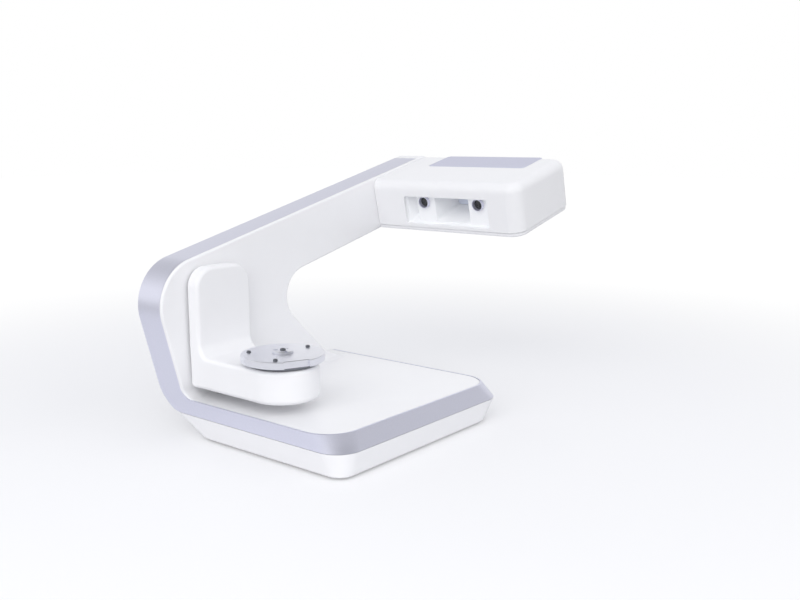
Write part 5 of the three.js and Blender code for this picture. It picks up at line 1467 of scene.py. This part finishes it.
class SCANNER_OT_head(bpy.types.Operator):
    """Optical head with its window, lower cover and inlay"""
    bl_idname = "scanner.head"
    bl_label = "Optical head"

    def execute(self, context):
        s, h = settings().shell, settings().head
        window = box_corners(h.window_front, h.window_front + h.window_length, h.window_bottom,
                             h.window_bottom + h.window_height, h.window_radius)
        right, seat = h.width - h.inlay_margin, h.height - h.inlay_depth
        inlay = box_corners(right - h.inlay_width, right, h.inlay_front, h.inlay_front + h.inlay_length,
                            h.inlay_radius)
        piece("head_housing_moulding", head_skin(), "stand", "white_plastic", ["head_housing"], cuts=[
            head_skin(s.wall), prism(window, -OVERRUN, OVERRUN, 0, in_head),
            prism(inlay, seat, h.height + OVERRUN, 2, in_head)])
        piece("head_tray", head_cover_skin(), "stand", "white_plastic", ["head_cover"])
        levels = [(SEAM, seat + SEAM), (SEAM, h.height - h.inlay_edge), (SEAM + h.inlay_edge, h.height)]
        rows = np.array([spread(outline(inlay, inset), height) for inset, height in levels])
        piece("grey_inlay_panel", Skin().solid(in_head(rows)), "stand", "grey_inlay", ["head_inlay"])
        return {"FINISHED"}


class SCANNER_OT_cameras(bpy.types.Operator):
    """Camera barrels and their front glasses"""
    bl_idname = "scanner.cameras"
    bl_label = "Cameras"

    def execute(self, context):
        h = settings().head
        tower = h.insert_front + h.setback
        front, low, far = tower - h.barrel_lip, tower - SEAM, h.insert_back - SEAM
        bore, soft = h.glass + SEAM, h.glass_edge
        glass_front = front + h.glass_recess
        glass_back = glass_front + h.glass / 2
        barrel = [[0, glass_back + SEAM], [bore, glass_back + SEAM], [bore, low + SEAM],
                  [h.barrel, low + SEAM], [h.barrel, far], [0, far]]
        ring = np.linspace(0, 1, 8)
        dome = np.stack([h.glass * ring, glass_front + soft * ring ** 2], 1)
        glass = [*dome.tolist(), [h.glass, glass_back], [0, glass_back]]
        collar = [[bore, low], [bore, glass_front],
                  *arc_profile(h.collar - soft, front + soft, soft, 230, 360), [h.collar, low], [bore, low]]
        for index, y in enumerate((h.camera_first + h.camera_spacing, h.camera_first), 1):
            lathe(f"camera_{index}_barrel", barrel, y, "black_plastic", [f"camera_barrel_{index}"])
            lathe(f"camera_{index}_glass", glass, y, "lens_glass", [f"camera_glass_{index}"])
            lathe(f"camera_{index}_collar", collar, y, "silver_trim", [])
        middle, half = h.camera_first + h.camera_spacing / 2, h.pane_width / 2
        pane = box_corners(middle - half, middle + half, h.pane_bottom, h.pane_bottom + h.pane_height,
                           h.window_radius)
        levels = [(0.0, far), (0.0, far - h.pane + soft), (soft, far - h.pane)]
        rows = np.array([spread(outline(pane, inset), across, 0) for inset, across in levels])
        piece("projector_pane", Skin().solid(in_head(rows)), "stand", "lens_glass", look="projector_glass")
        return {"FINISHED"}


class SCANNER_OT_bracket(bpy.types.Operator):
    """Swinging bracket with its platform"""
    bl_idname = "scanner.bracket"
    bl_label = "Swinging bracket"

    def execute(self, context):
        k = settings().bracket
        bore = rod(k.hub + 2 * SEAM, k.platform - OVERRUN, k.platform + OVERRUN, table_place(), 64)
        piece("bracket_moulding", bracket_skin(), "swing_arm", "white_plastic", ["swing_bracket"],
              cuts=[bore])
        piece("platform_floor", bracket_floor_skin(), "swing_arm", "white_plastic", ["bracket_floor"])
        return {"FINISHED"}


class SCANNER_OT_turntable(bpy.types.Operator):
    """Fixture plate, clamp disc, screw and studs"""
    bl_idname = "scanner.turntable"
    bl_label = "Turntable"

    def execute(self, context):
        t, centre = settings().table, table_place()
        top, middle = t.bottom + t.thickness, t.bottom + t.thickness / 2
        seat = rod(t.clamp + SEAM, top - t.clamp_seat, top + OVERRUN, centre, 96)
        places = [about_spindle(2 * math.pi * turn, t.stud_circle) for turn in STUD_TURNS]
        holes = [rod(t.stud + SEAM, middle, top + OVERRUN, place, 32) for place in places]
        piece("fixture_disc", plate_skin(), "turntable", "machined_aluminium", ["fixture_plate"],
              cuts=[seat, *holes])
        for index, place in enumerate(places, 1):
            stud = cup(t.stud, middle + SEAM, top + t.stud_height, t.stud_edge, t.stud / 2, top, place, 32)
            piece(f"stud_{index}", stud, "turntable", "steel", [f"locating_stud_{index}"])
        low = top - t.clamp_seat + SEAM
        floor, high = low + t.clamp_height / 2, low + t.clamp_height
        disc = cup(t.clamp, low, high, t.edge, t.screw + SEAM, floor, centre, 96)
        slots = [slot_block(t.notch_turn + 2 * math.pi * i / 3, t.clamp / 2, t.clamp + OVERRUN, t.clamp_slot,
                            floor, high + OVERRUN) for i in range(3)]
        piece("clamp_boss", disc, "turntable", "machined_aluminium", ["clamp_disc"], cuts=slots)
        screw = cup(t.screw, floor + SEAM, high + t.screw_height, t.screw_edge, t.screw / 2, high, centre, 48)
        piece("clamp_screw_head", screw, "turntable", "steel", ["clamp_screw"])
        return {"FINISHED"}


class SCANNER_OT_fittings(bpy.types.Operator):
    """Cover screws, rubber feet and the platter"""
    bl_idname = "scanner.fittings"
    bl_label = "Fittings"

    def execute(self, context):
        for i in range(1, 6):
            piece(f"socket_screw_{i}", screw_skin(f"cover_screw_{i}"), "stand", "steel", [f"cover_screw_{i}"])
        for i in range(1, 5):
            piece(f"rubber_foot_{i}", pad_skin(f"foot_pad_{i}"), "stand", "rubber", [f"foot_pad_{i}"])
        piece("driven_platter", platter_skin(), "turntable", "steel", ["platter"])
        return {"FINISHED"}


class SCANNER_OT_inner(bpy.types.Operator):
    """Finishes of the pieces that keep their own meshes"""
    bl_idname = "scanner.inner"
    bl_label = "Inner pieces"

    def execute(self, context):
        own = {"window_insert": "matt_white", "projector_lens": "projector_glass"}
        for row in frame["record"]["subparts"]:
            for place in frame["nodes"][row["node"]].material_slots:
                place.material = finish(own.get(row["node"], row["material_slot"]))
        return {"FINISHED"}


class SCANNER_OT_stage(bpy.types.Operator):
    """Pale floor, studio light and the camera"""
    bl_idname = "scanner.stage"
    bl_label = "Stage"

    def execute(self, context):
        context.scene.view_settings.view_transform = "Standard"
        build_camera()
        build_floor()
        build_world()
        build_lamps()
        return {"FINISHED"}


class SCANNER_PT_panel(bpy.types.Panel):
    """Lists a button for each step that builds the scanner and its stage"""
    bl_label = "Scanner"
    bl_space_type = "VIEW_3D"
    bl_region_type = "UI"
    bl_category = "Scanner"

    def draw(self, context):
        for kind in OPERATORS:
            self.layout.operator(kind.bl_idname)


OPERATORS = (
    SCANNER_OT_inner, SCANNER_OT_shell, SCANNER_OT_band, SCANNER_OT_pan, SCANNER_OT_cover, SCANNER_OT_head,
    SCANNER_OT_cameras, SCANNER_OT_bracket, SCANNER_OT_turntable, SCANNER_OT_fittings, SCANNER_OT_stage,
)
GROUPS = (
    ScannerShell, ScannerHead, ScannerBracket, ScannerTable, ScannerBack, ScannerFinish, ScannerStage,
    ScannerSettings,
)


def register():
    """Adds the settings, the operators and the panel to the program."""
    for kind in (*GROUPS, *OPERATORS, SCANNER_PT_panel):
        bpy.utils.register_class(kind)
    bpy.types.Scene.scanner = bpy.props.PointerProperty(type=ScannerSettings)


def unregister():
    """Takes them out again."""
    del bpy.types.Scene.scanner
    for kind in reversed((*GROUPS, *OPERATORS, SCANNER_PT_panel)):
        bpy.utils.unregister_class(kind)


def main():
    """Builds the whole scanner and its stage."""
    register()
    for kind in OPERATORS:
        family, name = kind.bl_idname.split(".")
        getattr(getattr(bpy.ops, family), name)()


if __name__ == "__main__":
    main()
